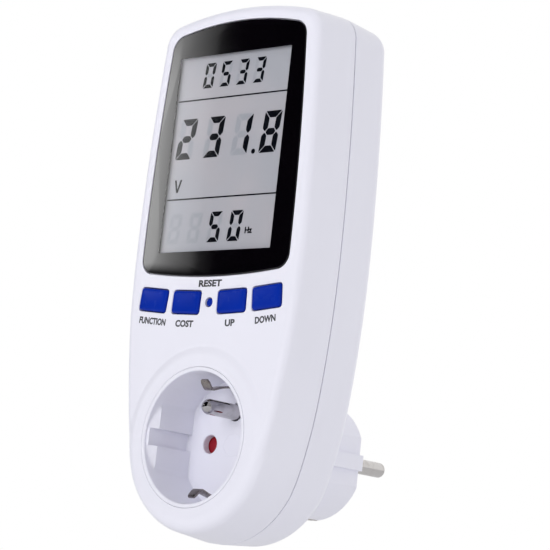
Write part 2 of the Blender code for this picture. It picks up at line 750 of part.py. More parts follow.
def make_contact_carrier():
    """The moulding behind the shutter that holds the socket's contacts."""
    rim_in = CUP_R - 1.4 * MM
    rim_out = CUP_R - 0.1 * MM
    profile = [
        (0, CARRIER_BACK_Y), (rim_out, CARRIER_BACK_Y), (rim_out, CUP_BACK_Y + GAP),
        (rim_in, CUP_BACK_Y + GAP), (rim_in, CARRIER_Y), (0, CARRIER_Y),
    ]
    obj = turned("contact_carrier", profile, segments=40)
    y_from, y_to = CARRIER_Y - MM, CARRIER_BACK_Y + MM
    cut(
        obj,
        rod("pivot_hole", PIVOT_R + GAP, y_from, y_to, segments=16),
        rod("earth_pass", EARTH_PIN_R + GAP, y_from, y_to, 0, EARTH_Z, 20),
    )
    for side in (-1, 1):
        cut(obj, rod(f"contact_hole_{side}", CONTACT_R + GAP, y_from, y_to, side * PIN_X, 0, 20))
        cut(obj, clip_slot(f"carrier_slot_{side}", side, CUP_BACK_Y, y_to, CUP_R + MM))
    place(obj, "grey_plastic")


def make_socket_contacts():
    """The two slit sleeves that grip a plug's pins."""
    for name, side in (("line_contact", -1), ("neutral_contact", 1)):
        x = side * PIN_X
        end = CONTACT_Y + CONTACT_LENGTH
        obj = tube(name, CONTACT_R, CONTACT_BORE_R, CONTACT_Y, end, x)
        slit = box_between(
            name + "_slit", (x - 0.4 * MM, CONTACT_Y - MM, 0), (x + 0.4 * MM, end - 3 * MM, 5 * MM)
        )
        cut(obj, slit)
        place(obj, "brass", smooth=True)


def make_earth_pin():
    """The round-nosed pin that stands in the recess."""
    nose_y = RIM_Y + RECESS_DEPTH - EARTH_PIN_REACH
    seat_y = CARRIER_BACK_Y + GAP
    nose = [
        (EARTH_PIN_R * math.sin(a), nose_y + EARTH_PIN_R * (1 - math.cos(a)))
        for a in (math.pi / 2 * (4 - i) / 4 for i in range(5))
    ]
    nose[-1] = (0, nose_y)
    profile = [
        (0, STRAP_Y - GAP), (EARTH_PIN_R, STRAP_Y - GAP), (EARTH_PIN_R, seat_y + 1.2 * MM),
        (EARTH_PIN_R + 1.2 * MM, seat_y + 1.2 * MM), (EARTH_PIN_R + 1.2 * MM, seat_y),
        (EARTH_PIN_R, seat_y), *nose,
    ]
    place(turned("earth_pin", profile, 0, EARTH_Z, 24), "nickel", smooth=True)


def bent_strip(name, centreline, thickness, width):
    """A flat strip of the given width, bent along (y, z) points."""
    bm = bmesh.new()
    before = None
    for i, point in enumerate(centreline):
        ahead = Vector(centreline[min(i + 1, len(centreline) - 1)])
        along = (ahead - Vector(centreline[max(i - 1, 0)])).normalized()
        normal = Vector((-along.y, along.x)) * thickness / 2
        upper, lower = Vector(point) + normal, Vector(point) - normal
        corners = ((-width / 2, *upper), (width / 2, *upper), (width / 2, *lower), (-width / 2, *lower))
        ring = [bm.verts.new(corner) for corner in corners]
        if before is None:
            bmesh.ops.contextual_create(bm, geom=ring)
        else:
            for k in range(4):
                side = [before[k - 1], before[k], ring[k], ring[k - 1]]
                bmesh.ops.contextual_create(bm, geom=side)
        before = ring
    bmesh.ops.contextual_create(bm, geom=before)
    bmesh.ops.recalc_face_normals(bm, faces=bm.faces)
    return object_from(bm, name)


def make_earth_clips():
    """The sprung strips at the top and bottom of the recess, each rooted at the strap."""
    root_y = STRAP_Y - GAP
    middle_y = RIM_Y + RECESS_DEPTH - 4.3 * MM
    for name, side in (("earth_clip_top", 1), ("earth_clip_bottom", -1)):
        centreline = [
            (RIM_Y + CLIP_TIP_DEPTH, side * CLIP_Z),
            (RIM_Y + CLIP_PEAK_DEPTH - 0.9 * MM, side * (CLIP_PEAK_Z + 0.45 * MM)),
            (RIM_Y + CLIP_PEAK_DEPTH, side * CLIP_PEAK_Z),
            (RIM_Y + CLIP_PEAK_DEPTH + 1.2 * MM, side * (CLIP_PEAK_Z + 0.4 * MM)),
            (middle_y, side * (CLIP_Z - 0.5 * MM)),
            (RIM_Y + RECESS_DEPTH, side * CLIP_Z),
            (root_y, side * CLIP_Z),
        ]
        place(bent_strip(name, centreline, CLIP_THICK, CLIP_WIDTH), "nickel")


def make_earth_strap():
    """The plate that joins the earth pin, the clips and the plug's strips."""
    reach = CLIP_Z + 1.0 * MM
    place(
        box_between(
            "earth_strap", (-STRAP_HALF_WIDTH, STRAP_Y, -reach),
            (STRAP_HALF_WIDTH, STRAP_Y + STRAP_THICK, reach),
        ),
        "brass",
    )


# ---------------------------------------------------------------- plug
def make_plug_pins():
    """The two pins that go into the wall socket, collared behind the plug's face."""
    collar_y = INSERT_Y + INSERT_THICK + GAP
    for name, side in (("plug_pin_line", -1), ("plug_pin_neutral", 1)):
        nose = [
            (PIN_R - 1.2 * MM * (1 - math.cos(a)), PIN_LENGTH - 1.2 * MM * (1 - math.sin(a)))
            for a in (math.pi / 2, math.pi / 4, 0)
        ]
        profile = [
            (0, PIN_LENGTH), *nose, (PIN_R, collar_y + 1.5 * MM),
            (PIN_R + 1.4 * MM, collar_y + 1.5 * MM), (PIN_R + 1.4 * MM, collar_y),
            (PIN_R, collar_y), (PIN_R, INSERT_Y - 3 * MM), (0, INSERT_Y - 3 * MM),
        ]
        place(turned(name, profile, side * PIN_X, 0, 24), "nickel", smooth=True)


def make_plug_insert():
    """The disc in the plug's bore that holds the pins apart."""
    radius = PLUG_BORE_R - GAP
    obj = rod("plug_insert", radius, INSERT_Y, INSERT_Y + INSERT_THICK, segments=40)
    y_from, y_to = INSERT_Y - MM, INSERT_Y + INSERT_THICK + MM
    cut(obj, rod("sleeve_pass", SLEEVE_R + GAP, y_from, y_to, 0, EARTH_Z, 20))
    for side in (-1, 1):
        cut(obj, rod(f"pin_pass_{side}", PIN_R + GAP, y_from, y_to, side * PIN_X, 0, 20))
    place(obj, "grey_plastic")


def make_earth_sleeve():
    """The sleeve that takes a wall socket's earth pin."""
    obj = tube("earth_sleeve", SLEEVE_R, SLEEVE_BORE_R, INSERT_Y - 4 * MM, -GAP, 0, EARTH_Z)
    place(obj, "brass", smooth=True)


def make_side_strips():
    """The plug's two side earth contacts, flush in their slots."""
    for name, side in (("plug_earth_top", 1), ("plug_earth_bottom", -1)):
        low, high = sorted((side * (PLUG_R - SIDE_STRIP_THICK), side * PLUG_R))
        half = SIDE_STRIP_WIDTH / 2
        start, end = STRAP_Y + STRAP_THICK + GAP, -PLUG_EDGE - GAP
        place(box_between(name, (-half, start, low), (half, end, high)), "nickel")


# ---------------------------------------------------------------- display
def make_display():
    """The lens, the panel in its frame, the backlight and the two contact strips."""
    lens = flat_piece("display_lens", lens_outline(), LENS_Y, LENS_Y + LENS_THICK)
    place(lens, "lens")
    panel = box_between(
        "lcd_panel", (-LCD_HALF_WIDTH, LCD_Y, LCD_BOTTOM_Z),
        (LCD_HALF_WIDTH, LCD_Y + LCD_THICK, LCD_TOP_Z),
    )
    place(panel, "lcd_glass")
    edge = LCD_FRAME_WALL + GAP
    outline = chamfered_between(
        LCD_HALF_WIDTH + edge, LCD_BOTTOM_Z - edge, LCD_TOP_Z + edge, FRAME_CHAMFER
    )
    frame = flat_piece("lcd_frame", outline, LCD_FRAME_Y, MAIN_BOARD_Y - GAP)
    window = box_between(
        "frame_window", (-LCD_HALF_WIDTH - GAP, LCD_FRAME_Y - MM, LCD_BOTTOM_Z - GAP),
        (LCD_HALF_WIDTH + GAP, MAIN_BOARD_Y + MM, LCD_TOP_Z + GAP),
    )
    cut(frame, window)
    place(frame, "black_plastic")
    strip_edge = ZEBRA_HEIGHT + 2 * MM
    backlight = box_between(
        "backlight", (2.5 * MM - LCD_HALF_WIDTH, BACKLIGHT_Y, LCD_BOTTOM_Z + strip_edge),
        (LCD_HALF_WIDTH - 2.5 * MM, BACKLIGHT_Y + BACKLIGHT_THICK, LCD_TOP_Z - strip_edge),
    )
    place(backlight, "diffuser")
    half = LCD_HALF_WIDTH - 2 * MM
    lows = (("zebra_bottom", LCD_BOTTOM_Z + MM), ("zebra_top", LCD_TOP_Z - MM - ZEBRA_HEIGHT))
    for name, low in lows:
        strip = box_between(
            name, (-half, BACKLIGHT_Y, low), (half, MAIN_BOARD_Y - GAP, low + ZEBRA_HEIGHT)
        )
        place(strip, "rubber")


# ---------------------------------------------------------------- keys
def make_key(name, x):
    """A rectangular key: crowned cap, retaining flange and stem."""
    front = FACE_Y - KEY_PROUD
    w, h = KEY_WIDTH / 2, KEY_HEIGHT / 2
    flange_back = KEY_FLANGE_Y + KEY_FLANGE
    grown = KEY_FLANGE
    obj = loft(
        name,
        [
            (front, chamfered(w - 0.9 * MM, h - 0.9 * MM, KEY_CORNER)),
            (front + 0.15 * MM, chamfered(w - 0.3 * MM, h - 0.3 * MM, KEY_CORNER)),
            (front + 0.45 * MM, chamfered(w, h, KEY_CORNER)),
            (KEY_FLANGE_Y, chamfered(w, h, KEY_CORNER)),
            (KEY_FLANGE_Y, chamfered(w + grown, h + grown, KEY_CORNER)),
            (flange_back, chamfered(w + grown, h + grown, KEY_CORNER)),
            (flange_back, chamfered(STEM_R, STEM_R, STEM_R * 0.5)),
            (STEM_END_Y, chamfered(STEM_R, STEM_R, STEM_R * 0.5)),
        ],
    )
    z, tilt = key_place(x)
    obj.location = (x, 0, z)
    obj.rotation_euler.y = tilt
    place(obj, "blue_plastic")


def make_reset_key():
    """The small round key, sunk in its hole."""
    front = FACE_Y + RESET_SUNK
    flange_back = KEY_FLANGE_Y + KEY_FLANGE
    profile = [
        (0, STEM_END_Y), (RESET_R, STEM_END_Y), (RESET_R, flange_back),
        (RESET_R + KEY_FLANGE, flange_back), (RESET_R + KEY_FLANGE, KEY_FLANGE_Y),
        (RESET_R, KEY_FLANGE_Y), (RESET_R, front + 0.3 * MM), (RESET_R - 0.3 * MM, front), (0, front),
    ]
    place(turned("reset_key", profile, 0, KEY_ROW_Z, 20), "blue_plastic", smooth=True)


def make_switch(name, plunger_name, x, z, tilt, size):
    """A tactile switch's body on the main board, and its plunger."""
    body = box(
        name, (size, SWITCH_HEIGHT, size), (x, SWITCH_Y + SWITCH_HEIGHT / 2, z)
    )
    body.rotation_euler.y = tilt
    plunger_r = min(PLUNGER_R, size / 2 - 2 * GAP - 0.6 * MM)
    depth = PLUNGER_IN + 3 * GAP
    cut(body, rod(name + "_well", plunger_r + GAP, SWITCH_Y - MM, SWITCH_Y + depth, x, z, 16))
    place(body, "black_plastic")
    plunger = rod(plunger_name, plunger_r, PLUNGER_Y, SWITCH_Y + PLUNGER_IN, x, z, 16)
    place(plunger, "grey_plastic", smooth=True)


def make_keys():
    """The row of four keys and the reset key between them, each over its own switch."""
    for i, x in enumerate(KEY_XS, start=1):
        z, tilt = key_place(x)
        make_key(f"key_{i}", x)
        make_switch(f"switch_{i}", f"plunger_{i}", x, z, tilt, SWITCH_SIZE)
    make_reset_key()
    make_switch("reset_switch", "reset_plunger", 0, KEY_ROW_Z, 0, 4.4 * MM)


# ---------------------------------------------------------------- boards
def make_boards():
    """The control board behind the display and the power board in the rear half."""
    top = LCD_TOP_Z + MM
    outline = chamfered_between(MAIN_BOARD_HALF_WIDTH, MAIN_BOARD_BOTTOM_Z, top, BOARD_CHAMFER)
    main = flat_piece("main_board", outline, MAIN_BOARD_Y, MAIN_BOARD_Y + BOARD_THICK)
    for side in (-1, 1):
        hole = rod(
            f"board_hole_{side}", BOARD_SCREW_R + GAP, MAIN_BOARD_Y - MM,
            MAIN_BOARD_Y + BOARD_THICK + MM, side * BOARD_SCREW[0], BOARD_SCREW[1], 12,
        )
        cut(main, hole)
    place(main, "green_board")
    power = box_between(
        "power_board", (-POWER_BOARD_HALF_WIDTH, POWER_BOARD_Y, POWER_BOARD_BOTTOM_Z),
        (POWER_BOARD_HALF_WIDTH, POWER_BOARD_Y + BOARD_THICK, TOP_Z - POWER_BOARD_TOP_GAP),
    )
    place(power, "tan_board")
    head_y = MAIN_BOARD_Y + BOARD_THICK + GAP
    for i, side in enumerate((-1, 1), start=1):
        profile = [
            (0, head_y + 1.3 * MM), (1.4 * MM, head_y + 1.3 * MM), (2.2 * MM, head_y + 0.7 * MM),
            (2.2 * MM, head_y), (BOARD_SCREW_R, head_y), (BOARD_SCREW_R, INNER_FACE_Y + 2.4 * MM),
            (0, INNER_FACE_Y + 1.6 * MM),
        ]
        screw = turned(f"board_screw_{i}", profile, side * BOARD_SCREW[0], BOARD_SCREW[1], 12)
        place(screw, "steel", smooth=True)


def on_power_board(name, width, height, depth, x, z, finish, bevel=0.0):
    """A component on the power board's front side."""
    back = POWER_BOARD_Y - GAP
    centre = (x, back - depth / 2, z)
    return place(box(name, (width, depth, height), centre, bevel), finish)


def make_components():
    """The larger components on the two boards."""
    main_back = MAIN_BOARD_Y + BOARD_THICK + GAP
    mcu = box("mcu", (12 * MM, 1.4 * MM, 12 * MM), (2.5 * MM, main_back + 0.7 * MM, 74 * MM))
    place(mcu, "black_plastic")
    crystal = box(
        "crystal", (9 * MM, 3.2 * MM, 4 * MM), (-13 * MM, main_back + 1.6 * MM, 84 * MM), 0.8 * MM
    )
    place(crystal, "steel")
    on_power_board("mains_capacitor", 18 * MM, 14 * MM, 8.5 * MM, -14 * MM, 46 * MM,
                   "yellow_plastic", 0.6 * MM)
    on_power_board("metering_chip", 10 * MM, 7 * MM, 2.2 * MM, 12 * MM, 62 * MM, "black_plastic")
    room_from = main_back
    room_to = POWER_BOARD_Y - GAP
    connector = box_between(
        "board_connector", (-9 * MM, room_from, 93 * MM), (9 * MM, room_to, 95.6 * MM)
    )
    place(connector, "black_plastic")
    bm = bmesh.new()
    battery_r = 4.6 * MM
    bmesh.ops.create_cone(
        bm, cap_ends=True, segments=24, radius1=battery_r, radius2=battery_r, depth=17 * MM
    )
    battery = object_from(bm, "backup_battery")
    battery.matrix_world = Matrix.Translation(
        (-13 * MM, POWER_BOARD_Y - GAP - battery_r, 74 * MM)
    ) @ Matrix.Rotation(math.pi / 2, 4, "Y")
    place(battery, "yellow_plastic", smooth=True)
    half_span, half_foot, rise = 6 * MM, 1 * MM, 5 * MM
    outer, inner = half_span + half_foot, half_span - half_foot
    arch = [
        (-outer, 0), (-outer, -rise - half_foot), (outer, -rise - half_foot), (outer, 0),
        (inner, 0), (inner, half_foot - rise), (-inner, half_foot - rise), (-inner, 0),
    ]
    shunt = flat_piece("shunt", arch, -40 * MM, -36 * MM)
    shunt.rotation_euler.x = -math.pi / 2
    middle = shunt.location.y
    shunt.location = (13 * MM, POWER_BOARD_Y - GAP, -middle)
    place(shunt, "copper")
    fuse_body = [
        (0, 0), (1.6 * MM, 0), (2.0 * MM, -0.8 * MM), (2.0 * MM, -8.2 * MM), (1.6 * MM, -9 * MM),
        (0, -9 * MM),
    ]
    resistor = turned("fuse_resistor", fuse_body, 0, 0, 16)
    resistor.matrix_world = Matrix.Translation(
        (17 * MM, POWER_BOARD_Y - GAP - 2.1 * MM, 84 * MM)
    ) @ Matrix.Rotation(math.pi / 2, 4, "Y")
    place(resistor, "grey_plastic", smooth=True)


def make_leads():
    """The two insulated leads from the socket's contacts up to the power board."""
    lead_r = 1.1 * MM
    level = CARRIER_BACK_Y + 3 * MM
    for name, side in (("line_lead", -1), ("neutral_lead", 1)):
        x = side * (PIN_X + 6.0 * MM)
        points = [
            (x, level, 2 * MM), (x, level, 12 * MM), (x, level + 0.4 * MM, 22 * MM),
            (x, level + 0.4 * MM, 32 * MM), (x, level, 37 * MM),
            (x, POWER_BOARD_Y + BOARD_THICK + 1.9 * MM, 41 * MM),
        ]
        place(wire(name, points, lead_r), "lead_sleeve")


def main():
    """Builds the meter, from the case inward."""
    make_front_shell()
    make_rear_shell()
    make_case_screws()
    make_socket_cup()
    make_shutter()
    make_shutter_pivot()
    make_shutter_spring()
    make_contact_carrier()
    make_socket_contacts()
    make_earth_pin()
    make_earth_clips()
    make_earth_strap()
    make_plug_pins()
    make_plug_insert()
    make_earth_sleeve()
    make_side_strips()
    make_display()
    make_keys()
    make_boards()
    make_components()
    make_leads()


main()
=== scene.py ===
"""Looks of a plug-in power meter: a pale case, a socket, four keys and a liquid crystal display.

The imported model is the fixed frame: its origin is the centre of the plug's mating face, +Y runs
into the wall and +Z is up. Every piece below is made in metres in that frame.
"""

import sys
import logging
import math
from dataclasses import dataclass, field
from enum import Enum
from typing import Callable, Iterable, Optional, Sequence

import bmesh
import bpy
import numpy as np
from mathutils import Matrix, Vector
from mathutils.geometry import delaunay_2d_cdt


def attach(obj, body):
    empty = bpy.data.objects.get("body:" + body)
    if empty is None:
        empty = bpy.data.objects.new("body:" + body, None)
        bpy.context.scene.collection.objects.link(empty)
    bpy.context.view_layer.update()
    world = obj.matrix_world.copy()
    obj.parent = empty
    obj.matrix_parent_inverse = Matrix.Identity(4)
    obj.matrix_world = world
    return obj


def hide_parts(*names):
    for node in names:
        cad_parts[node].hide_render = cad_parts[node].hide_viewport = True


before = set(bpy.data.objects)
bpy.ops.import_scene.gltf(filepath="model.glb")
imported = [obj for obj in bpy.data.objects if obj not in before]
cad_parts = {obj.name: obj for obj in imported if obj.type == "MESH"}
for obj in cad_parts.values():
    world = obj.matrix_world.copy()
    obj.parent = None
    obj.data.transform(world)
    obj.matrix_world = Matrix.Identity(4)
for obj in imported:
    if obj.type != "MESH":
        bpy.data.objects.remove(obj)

LOG = logging.getLogger("power_meter")
MM = 0.001
GAP = 0.3 * MM
MERGE_DISTANCE = 1e-7
FILL_SCALE = 1000.0  # outlines are filled in millimetres
FACE_LAP = 0.35 * MM  # how far a flat face starts inside its rounded edge
SCREW_SEAT = 3.0 * MM  # from the seam to the face under a screw's head
CASE_BODY = "case"
Loop = np.ndarray  # rows of (x, z), anticlockwise seen by someone who reads the display
Height = Callable[[float, float], float]  # the Y of a surface over a point (x, z)


# ---------------------------------------------------------------- outlines
def arc(cx: float, cz: float, radius: float, start: float, end: float, steps: int) -> Loop:
    """Points of an arc, both ends included.

    Args:
        cx, cz: the arc's centre.
        radius: its radius.
        start, end: angles in degrees from +X.
        steps: how many chords it is drawn with.

    Returns:
        The points.
    """
    angles = np.radians(np.linspace(start, end, steps + 1))
    return np.column_stack([cx + radius * np.cos(angles), cz + radius * np.sin(angles)])


def circle(radius: float, x: float = 0.0, z: float = 0.0, steps: int = 96) -> Loop:
    """A closed circle of `steps` points."""
    return arc(x, z, radius, 0, 360, steps)[:-1]


def mirrored(right_half: Loop) -> Loop:
    """A closed outline from its right half, which runs from the bottom to the top."""
    left = right_half[::-1] * np.array([-1.0, 1.0])
    return np.vstack([right_half, left[np.abs(left[:, 0]) > 1e-9]])


def inward_normals(loop: Loop) -> np.ndarray:
    """Unit normals that point into a closed anticlockwise loop.

    Args:
        loop: the closed outline.

    Returns:
        One normal for each point.
    """
    along = np.roll(loop, -1, axis=0) - np.roll(loop, 1, axis=0)
    along /= np.linalg.norm(along, axis=1)[:, None]
    return np.column_stack([-along[:, 1], along[:, 0]])


def grown(loop: Loop, amount: float) -> Loop:
    """A loop moved outward by an amount, or inward by a negative one."""
    return loop - inward_normals(loop) * amount


def rounded(corners: Sequence[tuple[float, float]], radius: float, steps: int = 5) -> Loop:
    """A polygon whose corners are rounded.

    Args:
        corners: its corners in order.
        radius: how far from each corner the rounding starts.
        steps: chords in each rounded corner.

    Returns:
        The closed outline.
    """
    points = []
    for i, corner in enumerate(corners):
        here = Vector(corner)
        before = here + (Vector(corners[i - 1]) - here).normalized() * radius
        after = here + (Vector(corners[(i + 1) % len(corners)]) - here).normalized() * radius
        for k in range(steps + 1):
            t = k / steps
            points.append(before * (1 - t) ** 2 + here * (2 * t * (1 - t)) + after * t**2)
    return np.array([tuple(p) for p in points])


def rectangle(width: float, height: float, radius: float, x: float = 0.0, z: float = 0.0) -> Loop:
    """A rectangle about (x, z) with rounded corners."""
    w, h = width / 2, height / 2
    return rounded([(w + x, z - h), (w + x, z + h), (x - w, z + h), (x - w, z - h)], radius)


def turned_about(loop: Loop, angle: float, x: float, z: float) -> Loop:
    """A loop turned by an angle about the origin, then moved to (x, z)."""
    c, s = math.cos(angle), math.sin(angle)
    return loop @ np.array([[c, s], [-s, c]]) + np.array([x, z])


def inside(points: np.ndarray, loop: Loop) -> np.ndarray:
    """Which points lie in a closed loop.

    Args:
        points: rows of (x, z).
        loop: the closed outline.

    Returns:
        One truth value for each point.
    """
    x, z = points[:, 0][:, None], points[:, 1][:, None]
    x1, z1 = loop[:, 0][None], loop[:, 1][None]
    x2, z2 = np.roll(loop[:, 0], -1)[None], np.roll(loop[:, 1], -1)[None]
    rise = np.where(np.abs(z2 - z1) < 1e-15, 1e-15, z2 - z1)
    crosses = ((z1 > z) != (z2 > z)) & (x < (x2 - x1) * (z - z1) / rise + x1)
    return crosses.sum(axis=1) % 2 == 1


def clear_of(points: np.ndarray, loops: Iterable[Loop], distance: float) -> np.ndarray:
    """Keeps the points that are at least a distance from every loop's points.

    Args:
        points: rows of (x, z).
        loops: the outlines to stay clear of.
        distance: how far they stay.

    Returns:
        The points that are kept.
    """
    keep = np.ones(len(points), bool)
    for loop in loops:
        gaps = np.linalg.norm(points[:, None] - loop[None], axis=2).min(axis=1)
        keep &= gaps > distance
    return points[keep]


# ---------------------------------------------------------------- surfaces
class Skin:
    """A surface that grows loop by loop and is filled with triangles where it ends."""

    def __init__(self) -> None:
        """Starts an empty surface."""
        self.bm = bmesh.new()
        self.ring: list[bmesh.types.BMVert] = []
        self.edges: list[bmesh.types.BMEdge] = []

    def start_at(self, spots: Sequence[Sequence[float]]) -> None:
        """Lays the first ring.

        Args:
            spots: its points in space.
        """
        self.ring = [self.bm.verts.new(spot) for spot in spots]
        self.edges = [
            self.bm.edges.new((self.ring[i - 1], self.ring[i])) for i in range(len(self.ring))
        ]

    def grow_to(self, spots: Sequence[Sequence[float]]) -> None:
        """Extrudes the last ring to a new one with as many points.

        Args:
            spots: the new ring's points in space.
        """
        made = bmesh.ops.extrude_edge_only(self.bm, edges=self.edges)["geom"]
        new = {item for item in made if isinstance(item, bmesh.types.BMVert)}
        ring = []
        for old in self.ring:
            ring.append(
                next(e.other_vert(old) for e in old.link_edges if e.other_vert(old) in new)
            )
        for vert, spot in zip(ring, spots):
            vert.co = spot
        self.edges = [
            item
            for item in made
            if isinstance(item, bmesh.types.BMEdge) and all(v in new for v in item.verts)
        ]
        self.ring = ring

    def start(self, loop: Loop, height: Height) -> None:
        """Lays the first loop at a height over each of its points."""
        self.start_at([(x, height(x, z), z) for x, z in loop])

    def grow(self, loop: Loop, height: Height) -> None:
        """Extrudes the last loop to a new one at a height over each of its points."""
        self.grow_to([(x, height(x, z), z) for x, z in loop])

    def cap(self) -> None:
        """Closes the last ring with one face."""
        bmesh.ops.contextual_create(self.bm, geom=self.ring)

    def path(self, rows: Iterable[tuple[Loop, Height]]) -> None:
        """Lays a first loop and grows through all the others."""
        for i, (loop, height) in enumerate(rows):
            if i == 0:
                self.start(loop, height)
            else:
                self.grow(loop, height)

    def fill(
        self, outer: Loop, holes: Sequence[Loop], height: Height, extra: Optional[np.ndarray] = None
    ) -> None:
        """Fills the room between an outline and its holes with triangles.

        Args:
            outer: the outline.
            holes: the outlines left open.
            height: the Y of each point.
            extra: more points to build the triangles on.
        """
        loops = [outer, *holes]
        points, edges = [], []
        for loop in loops:
            base = len(points)
            points += [tuple(p) for p in loop]
            edges += [(base + i, base + (i + 1) % len(loop)) for i in range(len(loop))]
        if extra is not None and len(extra):
            extra = extra[inside(extra, outer)]
            for hole in holes:
                extra = extra[~inside(extra, hole)]
            points += [tuple(p) for p in extra]
        found = delaunay_2d_cdt([Vector(p) * FILL_SCALE for p in points], edges, [], 0, 1e-7)
        verts = np.array([tuple(p) for p in found[0]]) / FILL_SCALE
        faces = found[2]
        centres = np.array([verts[list(face)].mean(axis=0) for face in faces])
        keep = inside(centres, outer)
        for hole in holes:
            keep &= ~inside(centres, hole)
        placed = [self.bm.verts.new((x, height(x, z), z)) for x, z in verts]
        for face, wanted in zip(faces, keep):
            if wanted:
                self.bm.faces.new([placed[i] for i in face])
        loose = [v for v in placed if not v.link_faces]
        bmesh.ops.delete(self.bm, geom=loose, context="VERTS")

    def edge_rows(
        self, loop: Loop, edge: float, height: Height, outward: float, steps: int = 3
    ) -> list[tuple[Loop, Height]]:
        """The loops that round an edge over, from the face down to the wall.

        Args:
            loop: the wall's outline.
            edge: the rounding's radius.
            height: the face's Y.
            outward: 1 for a hole's edge and -1 for an outer edge.
            steps: chords in the rounding.

        Returns:
            Loops with their heights.
        """
        rows = []
        for i in range(steps + 1):
            angle = math.pi / 2 * i / steps
            shift = outward * edge * (1 - math.sin(angle))
            drop = edge * (1 - math.cos(angle))
            rows.append((grown(loop, shift), lambda x, z, drop=drop: height(x, z) + drop))
        return rows

    def close(self, name: str) -> bpy.types.Object:
        """Merges the seams and makes an unlinked object with its faces outward.

        Args:
            name: the object's name.

        Returns:
            The unlinked object.
        """
        bmesh.ops.remove_doubles(self.bm, verts=self.bm.verts, dist=MERGE_DISTANCE)
        bmesh.ops.recalc_face_normals(self.bm, faces=self.bm.faces)
        open_edges = sum(1 for e in self.bm.edges if len(e.link_faces) != 2)
        if open_edges:
            LOG.warning("%s has %d edges without two faces", name, open_edges)
        mesh = bpy.data.meshes.new(name)
        self.bm.to_mesh(mesh)
        self.bm.free()
        return bpy.data.objects.new(name, mesh)


def at(y: float) -> Height:
    """A flat surface at a Y."""
    return lambda x, z: y


def plate(
    name: str, outer: Loop, holes: Sequence[Loop], front: float, back: float, edge: float
) -> bpy.types.Object:
    """A flat piece with holes, its edges rounded.

    Args:
        name: the object's name.
        outer: its outline.
        holes: the outlines of its holes.
        front, back: the Y of its two faces.
        edge: the radius of its edges.

    Returns:
        The unlinked object.
    """
    skin = Skin()
    for loop, way in [(outer, -1.0)] + [(hole, 1.0) for hole in holes]:
        rows = skin.edge_rows(loop, edge, at(front), way)
        rear = [(grown(loop, 0.0), at(back - edge)), (grown(loop, way * edge), at(back))]
        skin.path(rows + rear)
    outer_end = grown(outer, -edge)
    hole_ends = [grown(hole, edge) for hole in holes]
    skin.fill(outer_end, hole_ends, at(front))
    skin.fill(outer_end, hole_ends, at(back))
    return skin.close(name)


def revolved(
    name: str, profile: Sequence[tuple[float, float]], x: float = 0.0, z: float = 0.0,
    steps: int = 64, closed: bool = False,
) -> bpy.types.Object:
    """A solid spun about an axis along Y.

    Args:
        name: the object's name.
        profile: (radius, y) points.
        x, z: where the axis is.
        steps: how many facets it turns through.
        closed: whether the profile's last point joins its first.

    Returns:
        The unlinked object.
    """
    bm = bmesh.new()
    verts = [bm.verts.new((x + radius, y, z)) for radius, y in profile]
    edges = [bm.edges.new(pair) for pair in zip(verts, verts[1:])]
    if closed:
        edges.append(bm.edges.new((verts[-1], verts[0])))
    bmesh.ops.spin(
        bm, geom=verts + edges, cent=(x, 0, z), axis=(0, 1, 0), angle=2 * math.pi,
        steps=steps, use_merge=True,
    )
    bmesh.ops.remove_doubles(bm, verts=bm.verts, dist=MERGE_DISTANCE)
    bmesh.ops.recalc_face_normals(bm, faces=bm.faces)
    mesh = bpy.data.meshes.new(name)
    bm.to_mesh(mesh)
    bm.free()
    return bpy.data.objects.new(name, mesh)


def joined(name: str, objects: Sequence[bpy.types.Object]) -> bpy.types.Object:
    """One object that holds the meshes of several.

    Args:
        name: the new object's name.
        objects: the objects, which are removed.

    Returns:
        The unlinked object.
    """
    bm = bmesh.new()
    for obj in objects:
        bm.from_mesh(obj.data)
        bpy.data.objects.remove(obj)
    mesh = bpy.data.meshes.new(name)
    bm.to_mesh(mesh)
    bm.free()
    return bpy.data.objects.new(name, mesh)


def combined(
    target: bpy.types.Object, others: Sequence[bpy.types.Object], operation: str
) -> bpy.types.Object:
    """Cuts solids out of a target, or adds them to it.

    Args:
        target: the object that is changed.
        others: the solids, which are removed afterwards.
        operation: DIFFERENCE or UNION.

    Returns:
        The target with its new mesh.
    """
    tool = joined(target.name + "_tool", others)
    scene = bpy.context.scene.collection
    scene.objects.link(target)
    scene.objects.link(tool)
    modifier = target.modifiers.new("combine", "BOOLEAN")
    modifier.object, modifier.operation, modifier.solver = tool, operation, "EXACT"
    graph = bpy.context.evaluated_depsgraph_get()
    mesh = bpy.data.meshes.new_from_object(target.evaluated_get(graph))
    target.modifiers.clear()
    old, target.data = target.data, mesh
    bpy.data.meshes.remove(old)
    scene.objects.unlink(target)
    bpy.data.objects.remove(tool)
    return target


# ---------------------------------------------------------------- finishes
class Slot(Enum):
    """The record's material slots."""

    WHITE = "white_plastic"
    BLUE = "blue_plastic"
    RED = "red_plastic"
    GREY = "grey_plastic"
    BLACK = "black_plastic"
    LENS = "lens"
    LCD = "lcd_glass"
    DIFFUSER = "diffuser"
    NICKEL = "nickel"
    BRASS = "brass"
    STEEL = "steel"
    COPPER = "copper"
    GREEN_BOARD = "green_board"
    TAN_BOARD = "tan_board"
    RUBBER = "rubber"
    YELLOW = "yellow_plastic"
    SLEEVE = "lead_sleeve"


